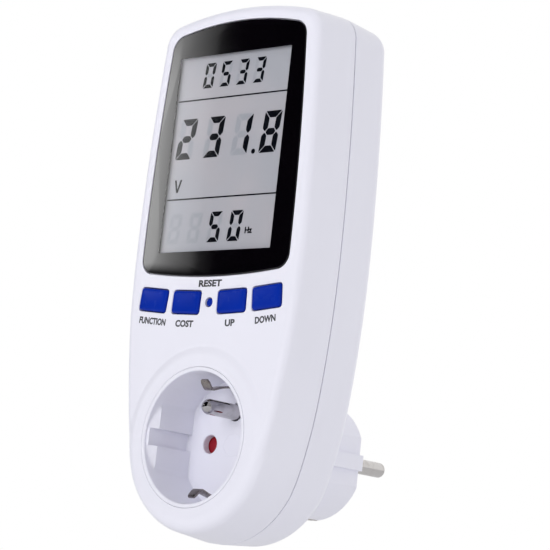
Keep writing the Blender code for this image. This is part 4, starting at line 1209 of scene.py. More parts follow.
@dataclass
class RearCover:
    """The rear half of the case with the plug's body moulded on."""

    form: CaseForm
    plug: PlugForm
    boss_r: float = 3.4 * MM
    boss_floor: float = SCREW_SEAT
    head_r: float = 2.6 * MM
    bore_r: float = 1.5 * MM

    def plug_loop(self, drawn: float) -> Loop:
        """The plug's section drawn in by an amount.

        Args:
            drawn: the amount, negative to grow it.

        Returns:
            The closed outline.
        """
        plug = self.plug
        flat_end = math.sqrt(plug.radius**2 - plug.flat**2)
        return coupler_loop(
            plug.radius - drawn, plug.flat - drawn, plug.rib_half, plug.rib_reach - drawn, flat_end
        )

    def build(self) -> bpy.types.Object:
        """Makes the cover and dresses it.

        Returns:
            The cover.
        """
        form, plug = self.form, self.plug
        outline = form.outline()
        parting = form.parting_y + GAP / 2
        inner_y = form.rear_y - form.wall
        skin = Skin()
        rows = [
            (grown(outline, -form.seam_bevel), at(parting)),
            (outline, at(parting + form.seam_bevel)),
            (outline, at(form.parting_y + form.seam_land)),
        ]
        foot_y = form.rear_y - form.rear_fillet
        land_y = form.parting_y + form.seam_land
        for share in (0.5, 1.0):
            rows.append((grown(outline, -form.rear_draft * share),
                         at(land_y + (foot_y - land_y) * share)))
        steps = 10
        for i in range(1, steps + 1):
            angle = math.pi / 2 * i / steps
            drawn = form.rear_draft + form.rear_fillet * (1 - math.cos(angle))
            rows.append((grown(outline, -drawn), at(foot_y + form.rear_fillet * math.sin(angle))))
        rows.append((grown(rows[-1][0], -FACE_LAP), at(form.rear_y)))
        skin.path(rows)
        reach = form.rear_draft + form.rear_fillet
        inside_rows = [
            (grown(outline, -form.seam_bevel), at(parting)),
            (grown(outline, -form.wall), at(parting)),
            (grown(outline, -form.wall - form.rear_draft), at(foot_y - form.wall + 2 * MM)),
            (grown(outline, -form.wall - form.rear_draft - 1.2 * MM), at(inner_y - 1.0 * MM)),
            (grown(outline, -form.wall - reach + 1.5 * MM), at(inner_y)),
        ]
        skin.path(inside_rows)
        foot = plug.foot
        plug_rows = [(self.plug_loop(-foot), at(form.rear_y))]
        for angle in (30, 60, 90):
            a = math.radians(angle)
            plug_rows.append((self.plug_loop(-foot * (1 - math.sin(a))),
                              at(form.rear_y + foot * (1 - math.cos(a)))))
        plug_rows.append((self.plug_loop(0), at(-plug.edge)))
        for angle in (22.5, 45, 67.5, 90):
            a = math.radians(angle)
            plug_rows.append((self.plug_loop(plug.edge * (1 - math.cos(a))),
                              at(-plug.edge * (1 - math.sin(a)))))
        skin.path(plug_rows)
        skin.fill(rows[-1][0], [plug_rows[0][0]], at(form.rear_y))
        bore = circle(plug.bore_r)
        skin.path([(bore, at(inner_y)), (bore, at(-plug.face_wall))])
        skin.fill(inside_rows[-1][0], [bore], at(inner_y))
        openings = [circle(plug.pin_r + GAP, side * plug.pin_x, 0, 40) for side in (-1, 1)]
        openings.append(circle(plug.sleeve_r + GAP, 0, plug.earth_z, 48))
        mouths = []
        for loop in openings:
            edge = 0.3 * MM
            skin.path([(grown(loop, edge), at(0.0)), (loop, at(-edge)), (loop, at(-plug.face_wall))])
            mouths.append(grown(loop, edge))
        skin.fill(plug_rows[-1][0], mouths, at(0.0))
        skin.fill(bore, openings, at(-plug.face_wall))
        cover = skin.close("rear_cover")
        boss_end = parting + GAP
        bosses = [
            revolved(f"boss_{i}", [(0, boss_end), (self.boss_r, boss_end),
                                   (self.boss_r, form.rear_y - form.wall / 2),
                                   (0, form.rear_y - form.wall / 2)], x, z, 36)
            for i, (x, z) in enumerate(form.screws)
        ]
        cover = combined(cover, bosses, "UNION")
        floor_y = parting + self.boss_floor
        cutters = [
            revolved(f"well_{i}", [
                (0, boss_end - MM), (self.bore_r, boss_end - MM), (self.bore_r, floor_y),
                (self.head_r, floor_y), (self.head_r, form.rear_y - 0.4 * MM),
                (self.head_r + 0.8 * MM, form.rear_y + 0.4 * MM), (0, form.rear_y + 0.4 * MM)],
                x, z, 44)
            for i, (x, z) in enumerate(form.screws)
        ]
        for side in (-1, 1):
            low, high = sorted((side * (plug.radius - plug.strip_thick - GAP),
                                side * (plug.radius + 1.5 * MM)))
            half = plug.strip_width / 2 + GAP
            slot = rounded([(half, low), (half, high), (-half, high), (-half, low)], 0.2 * MM, 2)
            cutters.append(plate(f"slot_{side}", slot, [], inner_y - MM, -plug.edge, 0.1 * MM))
        cover = combined(cover, cutters, "DIFFERENCE")
        return dress(cover, WHITE, replaces=["rear_shell"], weighted=True)


# ---------------------------------------------------------------- the socket
@dataclass
class Socket:
    """The recess that an appliance's plug goes into, with its shutter and contacts."""

    form: CaseForm
    recess_r: float = 20.0 * MM
    depth: float = 17.8 * MM
    flat: float = 17.25 * MM
    groove_half: float = 2.65 * MM
    groove_reach: float = 19.1 * MM
    lead_start: float = 0.9 * MM
    lead_end: float = 3.2 * MM
    cup_r: float = 21.0 * MM
    lip_r: float = 21.22 * MM
    flange_r: float = 23.5 * MM
    flange_y: float = -55.0 * MM
    flange_thick: float = 1.5 * MM
    floor_thick: float = 2.5 * MM
    inlet_x: float = 9.5 * MM
    inlet_r: float = 2.85 * MM
    earth_z: float = 10.0 * MM
    pin_r: float = 2.4 * MM
    pin_reach: float = 14.0 * MM
    clip_width: float = 3.4 * MM
    clip_thick: float = 0.7 * MM
    clip_z: float = 17.4 * MM
    clip_taper_end: int = 8
    clip_tip_share: float = 0.72
    strap_y: float = -27.5 * MM
    mark_r: float = 3.5 * MM

    def loop(self, radius: float, flat: float, reach: float) -> Loop:
        """The recess's section."""
        flat_end = math.sqrt(self.recess_r**2 - self.flat**2)
        return coupler_loop(radius, flat, self.groove_half, reach, flat_end)

    def insert(self) -> bpy.types.Object:
        """The moulded cup.

        Returns:
            The unlinked object.
        """
        rim, floor_y = self.form.rim_y, self.form.rim_y + self.depth
        back_y = floor_y + self.floor_thick
        skin = Skin()

        def ring(radius: float, y: float) -> tuple[Loop, Height]:
            """A round loop, with as many points as the section, at a Y."""
            return self.loop(radius, radius, radius), at(y)

        rows = [
            ring(self.cup_r, back_y), ring(self.cup_r, self.flange_y + self.flange_thick),
            ring(self.flange_r, self.flange_y + self.flange_thick),
            ring(self.flange_r, self.flange_y), ring(self.cup_r, self.flange_y),
            ring(self.lip_r, self.flange_y - 0.3 * MM), ring(self.lip_r, rim + 0.12 * MM),
            ring(self.lip_r - 0.04 * MM, rim + 0.04 * MM), ring(self.lip_r - 0.12 * MM, rim),
        ]
        edge = 0.45 * MM
        for angle in (0, 22.5, 45, 67.5, 90):
            a = math.radians(angle)
            rows.append(ring(self.recess_r + edge * (1 - math.sin(a)),
                             rim + edge * (1 - math.cos(a))))
        rows.append(ring(self.recess_r, rim + self.lead_start))
        for share in (0.04, 0.3, 0.6, 0.9, 1.0):
            depth = self.lead_start + (self.lead_end - self.lead_start) * share
            flat = self.recess_r + (self.flat - self.recess_r) * min(share, 1.0)
            reach = self.groove_reach
            rows.append((self.loop(self.recess_r, flat, reach), at(rim + depth)))
        foot = 0.4 * MM
        for angle in (0, 30, 60, 90):
            a = math.radians(angle)
            drawn = foot * (1 - math.cos(a))
            rows.append((self.loop(self.recess_r - drawn, self.flat - drawn,
                                   self.groove_reach - drawn), at(floor_y - foot * (1 - math.sin(a)))))
        skin.path(rows)
        openings = [(circle(self.inlet_r, side * self.inlet_x, 0, 40), 0.45 * MM) for side in (-1, 1)]
        openings.append((circle(self.pin_r + GAP, 0, self.earth_z, 40), 0.2 * MM))
        for side in (-1, 1):
            middle = side * (self.clip_z + 0.15 * MM)
            slot = rectangle(self.clip_width + 2 * GAP, 2.3 * MM, 0.3 * MM, 0, middle)
            openings.append((slot, 0.1 * MM))
        mouths, ends = [], []
        for loop, edge in openings:
            edge_rows = skin.edge_rows(loop, edge, at(floor_y), 1.0)
            skin.path(edge_rows + [(loop, at(back_y))])
            mouths.append(edge_rows[0][0])
            ends.append(loop)
        skin.fill(rows[-1][0], mouths, at(floor_y))
        skin.fill(rows[0][0], ends, at(back_y))
        cup = skin.close("socket_insert")
        width, rise = 0.16 * MM, 0.07 * MM
        mark = revolved("mark", [
            (self.mark_r - width, floor_y + rise), (self.mark_r - width * 0.6, floor_y - rise),
            (self.mark_r + width * 0.6, floor_y - rise), (self.mark_r + width, floor_y + rise)],
            steps=72, closed=True)
        return joined("socket_insert", [cup, mark])

    def earth_pin(self) -> bpy.types.Object:
        """The round-nosed pin, with its seating collar.

        Returns:
            The unlinked object.
        """
        nose_y = self.form.rim_y + self.depth - self.pin_reach
        seat_y = -31.0 * MM
        nose = [(self.pin_r * math.sin(a), nose_y + self.pin_r * (1 - math.cos(a)))
                for a in np.radians(np.linspace(0, 90, 13))]
        nose[0] = (0.0, nose_y)
        profile = [*nose, (self.pin_r, seat_y), (self.pin_r + 1.2 * MM, seat_y),
                   (self.pin_r + 1.2 * MM, seat_y + 1.2 * MM), (self.pin_r, seat_y + 1.2 * MM),
                   (self.pin_r, self.strap_y - GAP), (0.0, self.strap_y - GAP)]
        return revolved("earth_post", profile, 0, self.earth_z, 56)

    def clip(self, name: str, side: int) -> bpy.types.Object:
        """A sprung earth strip, bent inward near its tip.

        Args:
            name: the piece's name.
            side: 1 for the top strip and -1 for the bottom one.

        Returns:
            The unlinked object.
        """
        rim = self.form.rim_y
        nodes = [
            (rim + 2.75 * MM, 17.75 * MM), (rim + 3.1 * MM, 17.3 * MM), (rim + 3.7 * MM, 16.6 * MM),
            (rim + 4.6 * MM, 15.6 * MM), (rim + 5.5 * MM, 15.2 * MM), (rim + 6.6 * MM, 15.45 * MM),
            (rim + 8.4 * MM, 16.05 * MM), (rim + 11.0 * MM, 16.65 * MM),
            (rim + 14.0 * MM, 17.1 * MM), (rim + 17.8 * MM, 17.4 * MM),
            (self.strap_y - GAP, 17.4 * MM),
        ]
        points = [Vector((0, y, side * z)) for y, z in nodes]
        line = []
        for i in range(len(points) - 1):
            a, b = points[max(i - 1, 0)], points[i]
            c, d = points[i + 1], points[min(i + 2, len(points) - 1)]
            for k in range(5):
                t = k / 5
                line.append(0.5 * ((2 * b) + (c - a) * t + (2 * a - 5 * b + 4 * c - d) * t**2
                                   + (3 * b - a - 3 * c + d) * t**3))
        line.append(points[-1])
        section = rectangle(self.clip_width, self.clip_thick, 0.16 * MM)
        skin = Skin()
        for i, point in enumerate(line):
            along = (line[min(i + 1, len(line) - 1)] - line[max(i - 1, 0)]).normalized()
            up = Vector((1, 0, 0)).cross(along)
            taper = 1.0 if i > self.clip_taper_end else (
                self.clip_tip_share + (1 - self.clip_tip_share) * i / self.clip_taper_end)
            spots = [point + Vector((u * taper, 0, 0)) + up * v for u, v in section]
            if i == 0:
                skin.start_at(spots)
                skin.cap()
            else:
                skin.grow_to(spots)
        skin.cap()
        return skin.close(name)

    def shutter(self) -> bpy.types.Object:
        """The two-winged plate behind the inlets.

        Returns:
            The unlinked object.
        """
        wing = arc(self.inlet_x, 0, 3.6 * MM, -80, 80, 24)
        hub = arc(0, 0, 3.4 * MM, 62, 118, 10)
        outline = np.vstack([wing, hub, -wing, -hub])
        front = self.form.rim_y + self.depth + self.floor_thick + GAP
        return plate("shutter_plate", outline, [circle(1.8 * MM, steps=40)],
                     front, front + 1.8 * MM, 0.25 * MM)

    def build(self) -> None:
        """Makes and dresses the socket's pieces."""
        dress(self.insert(), WHITE, replaces=["socket_cup"], weighted=True)
        dress(self.earth_pin(), CHROME, replaces=["earth_pin"])
        # the clips wear the darker nickel copy, whose colour holds painted shade
        for name, side in (("top", 1), ("bottom", -1)):
            dress(self.clip(f"sprung_clip_{name}", side), SHADED_NICKEL, f"clip_{name}_body",
                  [f"earth_clip_{name}"])
        dress(self.shutter(), RED, "shutter_body", ["shutter"])


# ---------------------------------------------------------------- the display
class Seg(Enum):
    """The seven bars of a digit."""

    TOP = "a"
    UPPER_RIGHT = "b"
    LOWER_RIGHT = "c"
    BOTTOM = "d"
    LOWER_LEFT = "e"
    UPPER_LEFT = "f"
    MIDDLE = "g"


DIGITS = {"0": "abcdef", "1": "bc", "2": "abged", "3": "abgcd", "5": "afgcd", "8": "abcdefg"}


@dataclass
class DigitRow:
    """A row of seven-bar digits: where it is, its sizes and what it shows."""

    text: str
    first_x: float
    pitch: float
    middle_z: float
    width: float
    height: float
    stroke: float
    lean: float = 0.11
    gap: float = 0.14 * MM

    def bar(self, bar: Seg) -> list[tuple[float, float]]:
        """A bar's corners in its own cell, anticlockwise, the cell's middle at the origin.

        Args:
            bar: which bar.

        Returns:
            Its corners.
        """
        w, h, t, g = self.width / 2, self.height / 2, self.stroke, self.gap
        top = [(t + g - w, h - t), (w - t - g, h - t), (w - g * 1.6, h), (g * 1.6 - w, h)]
        right = [(w - t, g + t * 0.5), (w - t * 0.5, g), (w, t * 0.5 + g), (w, h - g * 1.6),
                 (w - t, h - t - g)]
        middle = [(t + g - w, -t / 2), (w - t - g, -t / 2), (w - t * 0.6 - g, 0),
                  (w - t - g, t / 2), (t + g - w, t / 2), (t * 0.6 + g - w, 0)]
        if bar is Seg.MIDDLE:
            return middle
        if bar in (Seg.TOP, Seg.BOTTOM):
            corners = top
        else:
            corners = right
        if bar in (Seg.UPPER_LEFT, Seg.LOWER_LEFT):
            corners = [(-x, z) for x, z in reversed(corners)]
        if bar in (Seg.BOTTOM, Seg.LOWER_RIGHT, Seg.LOWER_LEFT):
            corners = [(x, -z) for x, z in reversed(corners)]
        return corners

    def bars(self, lit: bool) -> list[Loop]:
        """The outlines of the lit bars, or of the idle ones.

        Args:
            lit: True for the lit bars.

        Returns:
            Their closed outlines.
        """
        found = []
        for i, digit in enumerate(self.text):
            for bar in Seg:
                if (bar.value in DIGITS.get(digit, "")) != lit:
                    continue
                corners = [(x + self.lean * z, z) for x, z in self.bar(bar)]
                loop = rounded(corners, self.stroke * 0.16, 2)
                found.append(loop + np.array([self.first_x + i * self.pitch, self.middle_z]))
        return found


@dataclass
class Display:
    """The window, its printed border, and the liquid crystal panel behind it."""

    form: CaseForm
    half_width: float = 23.4 * MM
    middle_x: float = -0.6 * MM
    undercut: float = 1.3 * MM
    low_z: float = 57.0 * MM
    high_z: float = 119.1 * MM
    panel_half_width: float = 25.0 * MM
    panel_low_z: float = 55.6 * MM
    panel_high_z: float = 120.6 * MM
    film_rise: float = 0.03 * MM
    panel_front: float = -56.2 * MM
    panel_back: float = -52.6 * MM
    shift: float = -1.3 * MM
    dot_r: float = 0.8 * MM
    dot_place: tuple[float, float] = (11.4 * MM, 87.5 * MM)
    rule_length: float = 46.4 * MM
    rule_thick: float = 0.48 * MM
    rule_zs: tuple[float, float] = (105.6 * MM, 74.0 * MM)
    rows: list[DigitRow] = field(default_factory=lambda: [
        DigitRow("0533", -10.8 * MM, 7.05 * MM, 113.1 * MM, 4.3 * MM, 8.0 * MM, 1.2 * MM),
        DigitRow("2318", -17.7 * MM, 11.8 * MM, 93.2 * MM, 6.9 * MM, 12.9 * MM, 2.1 * MM),
        DigitRow("  50", -18.5 * MM, 8.6 * MM, 64.7 * MM, 5.1 * MM, 9.5 * MM, 1.5 * MM),
    ])

    def printed(self, name: str, loops: Sequence[Loop], thick: float) -> bpy.types.Object:
        """Flat shapes that lie on the panel's front.

        Args:
            name: the piece's name.
            loops: their outlines.
            thick: how far they stand off the panel.

        Returns:
            The unlinked object.
        """
        skin = Skin()
        for loop in loops:
            loop = loop + np.array([self.shift, 0.0])
            front, back = self.panel_front - thick, self.panel_front + 0.02 * MM
            skin.path([(loop, at(front)), (loop, at(back))])
            skin.fill(loop, [], at(front))
            skin.fill(loop, [], at(back))
        return skin.close(name)

    def border(self, opening: Loop) -> bpy.types.Object:
        """The black part of the window, its opening wider behind than in front.

        Args:
            opening: the opening's outline in front.

        Returns:
            The unlinked object.
        """
        form, edge = self.form, 0.28 * MM
        front, back = form.face_y, form.face_y + form.lens_thick
        outer, wide = form.lens(), grown(opening, self.undercut)
        skin = Skin()
        rows = skin.edge_rows(outer, edge, at(front), -1.0)
        rows += [(outer, at(back - edge)), (grown(outer, -edge), at(back))]
        skin.path(rows)
        skin.path([(opening, at(front)), (opening, at(front + 0.05 * MM)), (wide, at(back))])
        skin.fill(rows[0][0], [opening], at(front))
        skin.fill(rows[-1][0], [wide], at(back))
        return skin.close("window_border")

    def build(self) -> None:
        """Makes and dresses the display's pieces."""
        form = self.form
        front = form.face_y
        middle_z, height = (self.low_z + self.high_z) / 2, self.high_z - self.low_z
        opening = rectangle(2 * self.half_width, height, 0.35 * MM, self.middle_x, middle_z)
        dress(self.border(opening), BORDER, replaces=["display_lens"], weighted=True)
        slack = 0.02 * MM
        clear = rectangle(2 * (self.half_width - slack), height - 2 * slack, 0.33 * MM,
                          self.middle_x, middle_z)
        pane = plate("window_pane", clear, [], front + 0.01 * MM, front + 0.25 * MM, 0.03 * MM)
        dress(pane, PANE, weighted=True)
        panel_height = self.panel_high_z - self.panel_low_z
        slab = rectangle(2 * self.panel_half_width, panel_height, 0.4 * MM, 0,
                         (self.panel_low_z + self.panel_high_z) / 2)
        panel = plate("lcd_glass", slab, [], self.panel_front, self.panel_back, 0.15 * MM)
        dress(panel, FILM, replaces=["lcd_panel"], weighted=True)
        lit = [loop for row in self.rows for loop in row.bars(True)]
        idle = [loop for row in self.rows for loop in row.bars(False)]
        lit.append(circle(self.dot_r, *self.dot_place, 24))
        dress(self.printed("lcd_segments", lit, self.film_rise), SEGMENT)
        dress(self.printed("lcd_idle_segments", idle, self.film_rise / 2), GHOST)
        rules = [rectangle(self.rule_length, self.rule_thick, 0.1 * MM, 0, z) for z in self.rule_zs]
        dress(self.printed("lcd_rules", rules, self.film_rise), SEGMENT)
        left = rounded([(-20.45, 76.2), (-19.75, 76.2), (-20.75, 80.3), (-21.5, 80.3)], 0.08, 2) * MM
        right = rounded([(-20.35, 76.2), (-19.65, 76.2), (-18.3, 80.3), (-19.05, 80.3)], 0.08, 2) * MM
        dress(self.printed("lcd_unit_v", [left + np.array([0.7 * MM, 0]),
                                          right + np.array([0.7 * MM, 0])], self.film_rise), SEGMENT)
        letters = Lettering("lcd_unit_hz", self.panel_front - self.film_rise)
        letters.word("Hz", 2.6 * MM, 13.0 * MM + self.shift, 63.0 * MM)
        dress(letters.solid(), SEGMENT)


class Lettering:
    """Words set as thin solid letters on a face that looks towards -Y."""

    BOLDNESS = 0.042
    SINK = 0.01 * MM

    def __init__(self, name: str, y: float, thick: float = 0.03 * MM) -> None:
        """Starts an empty piece.

        Args:
            name: the piece's name.
            y: the face's Y.
            thick: how far the letters stand off the face.
        """
        self.name, self.y, self.thick = name, y, thick
        self.words: list[bpy.types.Object] = []

    def word(self, text: str, size: float, x: float, z: float, width: float = 0.0,
             turn: float = 0.0) -> None:
        """Adds a word.

        Args:
            text: its letters.
            size: the letters' body height.
            x, z: the word's centre.
            width: the word's whole width, or 0 for the letters' own.
            turn: its tilt in radians.
        """
        curve = bpy.data.curves.new("word", "FONT")
        curve.body, curve.size = text, size
        curve.align_x, curve.align_y = "CENTER", "CENTER"
        curve.extrude = self.thick / 2
        curve.offset = size * self.BOLDNESS
        curve.resolution_u = 3
        source = bpy.data.objects.new("word", curve)
        bpy.context.scene.collection.objects.link(source)
        graph = bpy.context.evaluated_depsgraph_get()
        mesh = bpy.data.meshes.new_from_object(source.evaluated_get(graph))
        bpy.data.objects.remove(source)
        xs = [v.co.x for v in mesh.vertices]
        squeeze = width / (max(xs) - min(xs)) if width else 1.0
        mesh.transform(Matrix.Diagonal((squeeze, 1, 1, 1)))
        place = Matrix.Translation((x, self.y - self.thick / 2 + self.SINK, z))
        mesh.transform(place @ Matrix.Rotation(-turn, 4, "Y") @ Matrix.Rotation(math.pi / 2, 4, "X"))
        self.words.append(bpy.data.objects.new("word", mesh))

    def solid(self) -> bpy.types.Object:
        """The finished letters as one unlinked object."""
        return joined(self.name, self.words)


# ---------------------------------------------------------------- the keys
@dataclass
class KeyPad:
    """The four keys, the reset key and the words beside them."""

    form: CaseForm
    keys: KeyForm

    def key(self, name: str, x: float) -> bpy.types.Object:
        """A crowned key with its flange and stem.

        Args:
            name: the piece's name.
            x: its centre.

        Returns:
            The unlinked object.
        """
        keys = self.keys
        z, tilt = self.form.key_place(x)
        top = self.form.face_y - keys.proud
        skin = Skin()

        def loop(draw: float, corner: float) -> Loop:
            """The key's outline in its place, drawn in by an amount."""
            flat = rectangle(keys.width - 2 * draw, keys.height - 2 * draw, corner)
            return turned_about(flat, tilt, x, z)

        crown_rows = []
        for share in (0.9, 0.7, 0.5, 0.32, 0.2, 0.1):
            draw = keys.edge + (keys.height / 2 - keys.edge - 0.3 * MM) * share
            rise = keys.crown * (1 - (1 - share) ** 2)
            crown_rows.append((loop(draw, keys.corner * (1 - share) + 0.15 * MM),
                               at(top + keys.crown - rise)))
        edge_rows = []
        for angle in (0, 22.5, 45, 67.5, 90):
            a = math.radians(angle)
            edge_rows.append((loop(keys.edge * (1 - math.sin(a)), keys.corner),
                              at(top + keys.crown + keys.edge * (1 - math.cos(a)))))
        flange_back = keys.flange_y + keys.flange
        body_rows = [
            (loop(0, keys.corner), at(keys.flange_y)),
            (loop(-keys.flange, keys.corner + 0.4 * MM), at(keys.flange_y)),
            (loop(-keys.flange, keys.corner + 0.4 * MM), at(flange_back)),
        ]
        stem = [(turned_about(rectangle(keys.stem, keys.stem, 0.4 * MM), tilt, x, z), at(y))
                for y in (flange_back, keys.stem_end_y)]
        rows = crown_rows + edge_rows + body_rows + stem
        skin.path(rows)
        skin.fill(rows[0][0], [], rows[0][1])
        skin.fill(rows[-1][0], [], rows[-1][1])
        return skin.close(name)

    def reset(self) -> bpy.types.Object:
        """The small round key.

        Returns:
            The unlinked object.
        """
        keys = self.keys
        front = self.form.face_y + keys.reset_sunk
        flange_back = keys.flange_y + keys.flange
        profile = [
            (0, front - 0.05 * MM), (0.5 * MM, front - 0.03 * MM), (0.95 * MM, front + 0.05 * MM),
            (1.15 * MM, front + 0.16 * MM), (keys.reset_r, front + 0.35 * MM),
            (keys.reset_r, keys.flange_y), (keys.reset_r + keys.flange, keys.flange_y),
            (keys.reset_r + keys.flange, flange_back), (keys.reset_r, flange_back),
            (keys.reset_r, keys.stem_end_y), (0, keys.stem_end_y),
        ]
        return revolved("reset_button", profile, 0, self.form.key_row_z, 40)

    def legends(self) -> bpy.types.Object:
        """The printed words above and below the keys.

        Returns:
            The unlinked object.
        """
        form = self.form
        letters = Lettering("legend_print", form.face_y, 0.025 * MM)
        letters.word("RESET", 2.75 * MM, -0.3 * MM, 46.75 * MM, 9.6 * MM)
        words = [("FUNCTION", -23.3, 35.5, 11.6), ("COST", -9.4, 34.5, 7.6), ("UP", 9.7, 34.5, 4.0),
                 ("DOWN", 24.1, 35.4, 8.2)]
        for text, x, z, width in words:
            letters.word(text, 2.75 * MM, x * MM, z * MM, width * MM, x * MM / form.key_arc_r)
        return letters.solid()

    def build(self) -> None:
        """Makes and dresses the keys and their words."""
        for i, x in enumerate(self.keys.xs, start=1):
            dress(self.key(f"key_cap_{i}", x), BLUE, f"key_{i}_body", [f"key_{i}"], sharp=50)
        dress(self.reset(), BLUE, "reset_body", ["reset_key"])
        dress(self.legends(), INK)


# ---------------------------------------------------------------- the plug's metal
@dataclass
class PlugMetal:
    """The plug's pins, its side strips and the case screws."""

    form: CaseForm
    plug: PlugForm
    insert_y: float = -10.7 * MM
    insert_thick: float = 3.5 * MM
    screw_head_r: float = 2.3 * MM
    screw_head: float = 1.6 * MM
    screw_r: float = 1.2 * MM

    def pin(self, name: str, side: int) -> bpy.types.Object:
        """A mains pin with a rounded nose and a collar.

        Args:
            name: the piece's name.
            side: -1 or 1, which pin.

        Returns:
            The unlinked object.
        """
        plug = self.plug
        collar = self.insert_y + self.insert_thick + GAP
        nose_r = 1.3 * MM
        nose = [(plug.pin_r - nose_r * (1 - math.sin(a)), plug.pin_length - nose_r * (1 - math.cos(a)))
                for a in np.radians(np.linspace(0, 90, 9))]
        profile = [(0, plug.pin_length), *nose, (plug.pin_r, collar + 1.5 * MM),
                   (plug.pin_r + 1.4 * MM, collar + 1.5 * MM), (plug.pin_r + 1.4 * MM, collar),
                   (plug.pin_r, collar), (plug.pin_r, self.insert_y - 3 * MM),
                   (0, self.insert_y - 3 * MM)]
        return revolved(name, profile, side * plug.pin_x, 0, 48)

    def strip(self, name: str, side: int) -> bpy.types.Object:
        """A side earth strip, its end rolled inward.

        Args:
            name: the piece's name.
            side: 1 for the top strip and -1 for the bottom one.

        Returns:
            The unlinked object.
        """
        plug = self.plug
        low, high = sorted((side * (plug.radius - plug.strip_thick), side * plug.radius))
        half = plug.strip_width / 2
        loop = rounded([(half, low), (half, high), (-half, high), (-half, low)], 0.2 * MM, 4)
        return plate(name, loop, [], -26.2 * MM, -plug.edge - GAP, 0.15 * MM)

    def screw(self, name: str, x: float, z: float) -> bpy.types.Object:
        """A case screw with a cross recess in its head.

        Args:
            name: the piece's name.
            x, z: its axis.

        Returns:
            The unlinked object.
        """
        head_y = self.form.parting_y + GAP / 2 + SCREW_SEAT + GAP
        top = head_y + self.screw_head
        r = self.screw_head_r
        profile = [(0, top), (r * 0.55, top - 0.04 * MM), (r * 0.85, top - 0.35 * MM),
                   (r, top - 0.8 * MM), (r, head_y), (self.screw_r, head_y)]
        tip = self.form.face_y + self.form.wall + 5 * MM
        y, pitch = head_y - 0.8 * MM, 0.8 * MM
        while y - pitch > tip + MM:
            profile += [(self.screw_r, y), (self.screw_r * 0.78, y - pitch / 2)]
            y -= pitch
        profile += [(self.screw_r * 0.78, tip + MM), (0, tip)]
        body = revolved(name, profile, x, z, 32)
        w, reach = 0.28 * MM, 1.3 * MM
        cross = np.array([(reach, -w), (reach, w), (w, w), (w, reach), (-w, reach), (-w, w),
                          (-reach, w), (-reach, -w), (-w, -w), (-w, -reach), (w, -reach), (w, -w)])
        skin = Skin()
        loop = cross + np.array([x, z])
        skin.path([(loop, at(top - 0.95 * MM)), (loop, at(top + MM))])
        skin.fill(loop, [], at(top - 0.95 * MM))
        skin.fill(loop, [], at(top + MM))
        return combined(body, [skin.close("cross")], "DIFFERENCE")

    def build(self) -> None:
        """Makes and dresses the metal pieces."""
        for name, side in (("line", -1), ("neutral", 1)):
            dress(self.pin(f"mains_pin_{name}", side), NICKEL, replaces=[f"plug_pin_{name}"])
        for name, side in (("top", 1), ("bottom", -1)):
            dress(self.strip(f"side_strip_{name}", side), NICKEL, replaces=[f"plug_earth_{name}"])
        for i, (x, z) in enumerate(self.form.screws, start=1):
            dress(self.screw(f"cross_screw_{i}", x, z), STEEL, replaces=[f"case_screw_{i}"])


# ---------------------------------------------------------------- the inside
def dress_frame_nodes() -> None:
    """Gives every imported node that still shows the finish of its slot."""
    for name, node in sorted(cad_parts.items()):
        slot = node.data.materials[0].name.split(".")[0]
        finish = BY_SLOT[slot]
        node.data.materials.clear()
        node.data.materials.append(finish.material())
        LOG.info("%s keeps its packed shape, finish %s", name, finish.name)


# ---------------------------------------------------------------- the studio
@dataclass(frozen=True)
class Lamp:
    """A soft square lamp that looks at a target."""

    name: str
    place: tuple[float, float, float]
    size: float
    power: float
    target: tuple[float, float, float]


LAMPS = (
    Lamp("key_lamp", (0.1, -1.5, 0.2), 0.9, 10.8, (0, -40 * MM, 50 * MM)),
    Lamp("low_fill", (0.3, 0.12, -0.075), 0.08, 0.09, (0.02, -0.02, -0.01)),
)


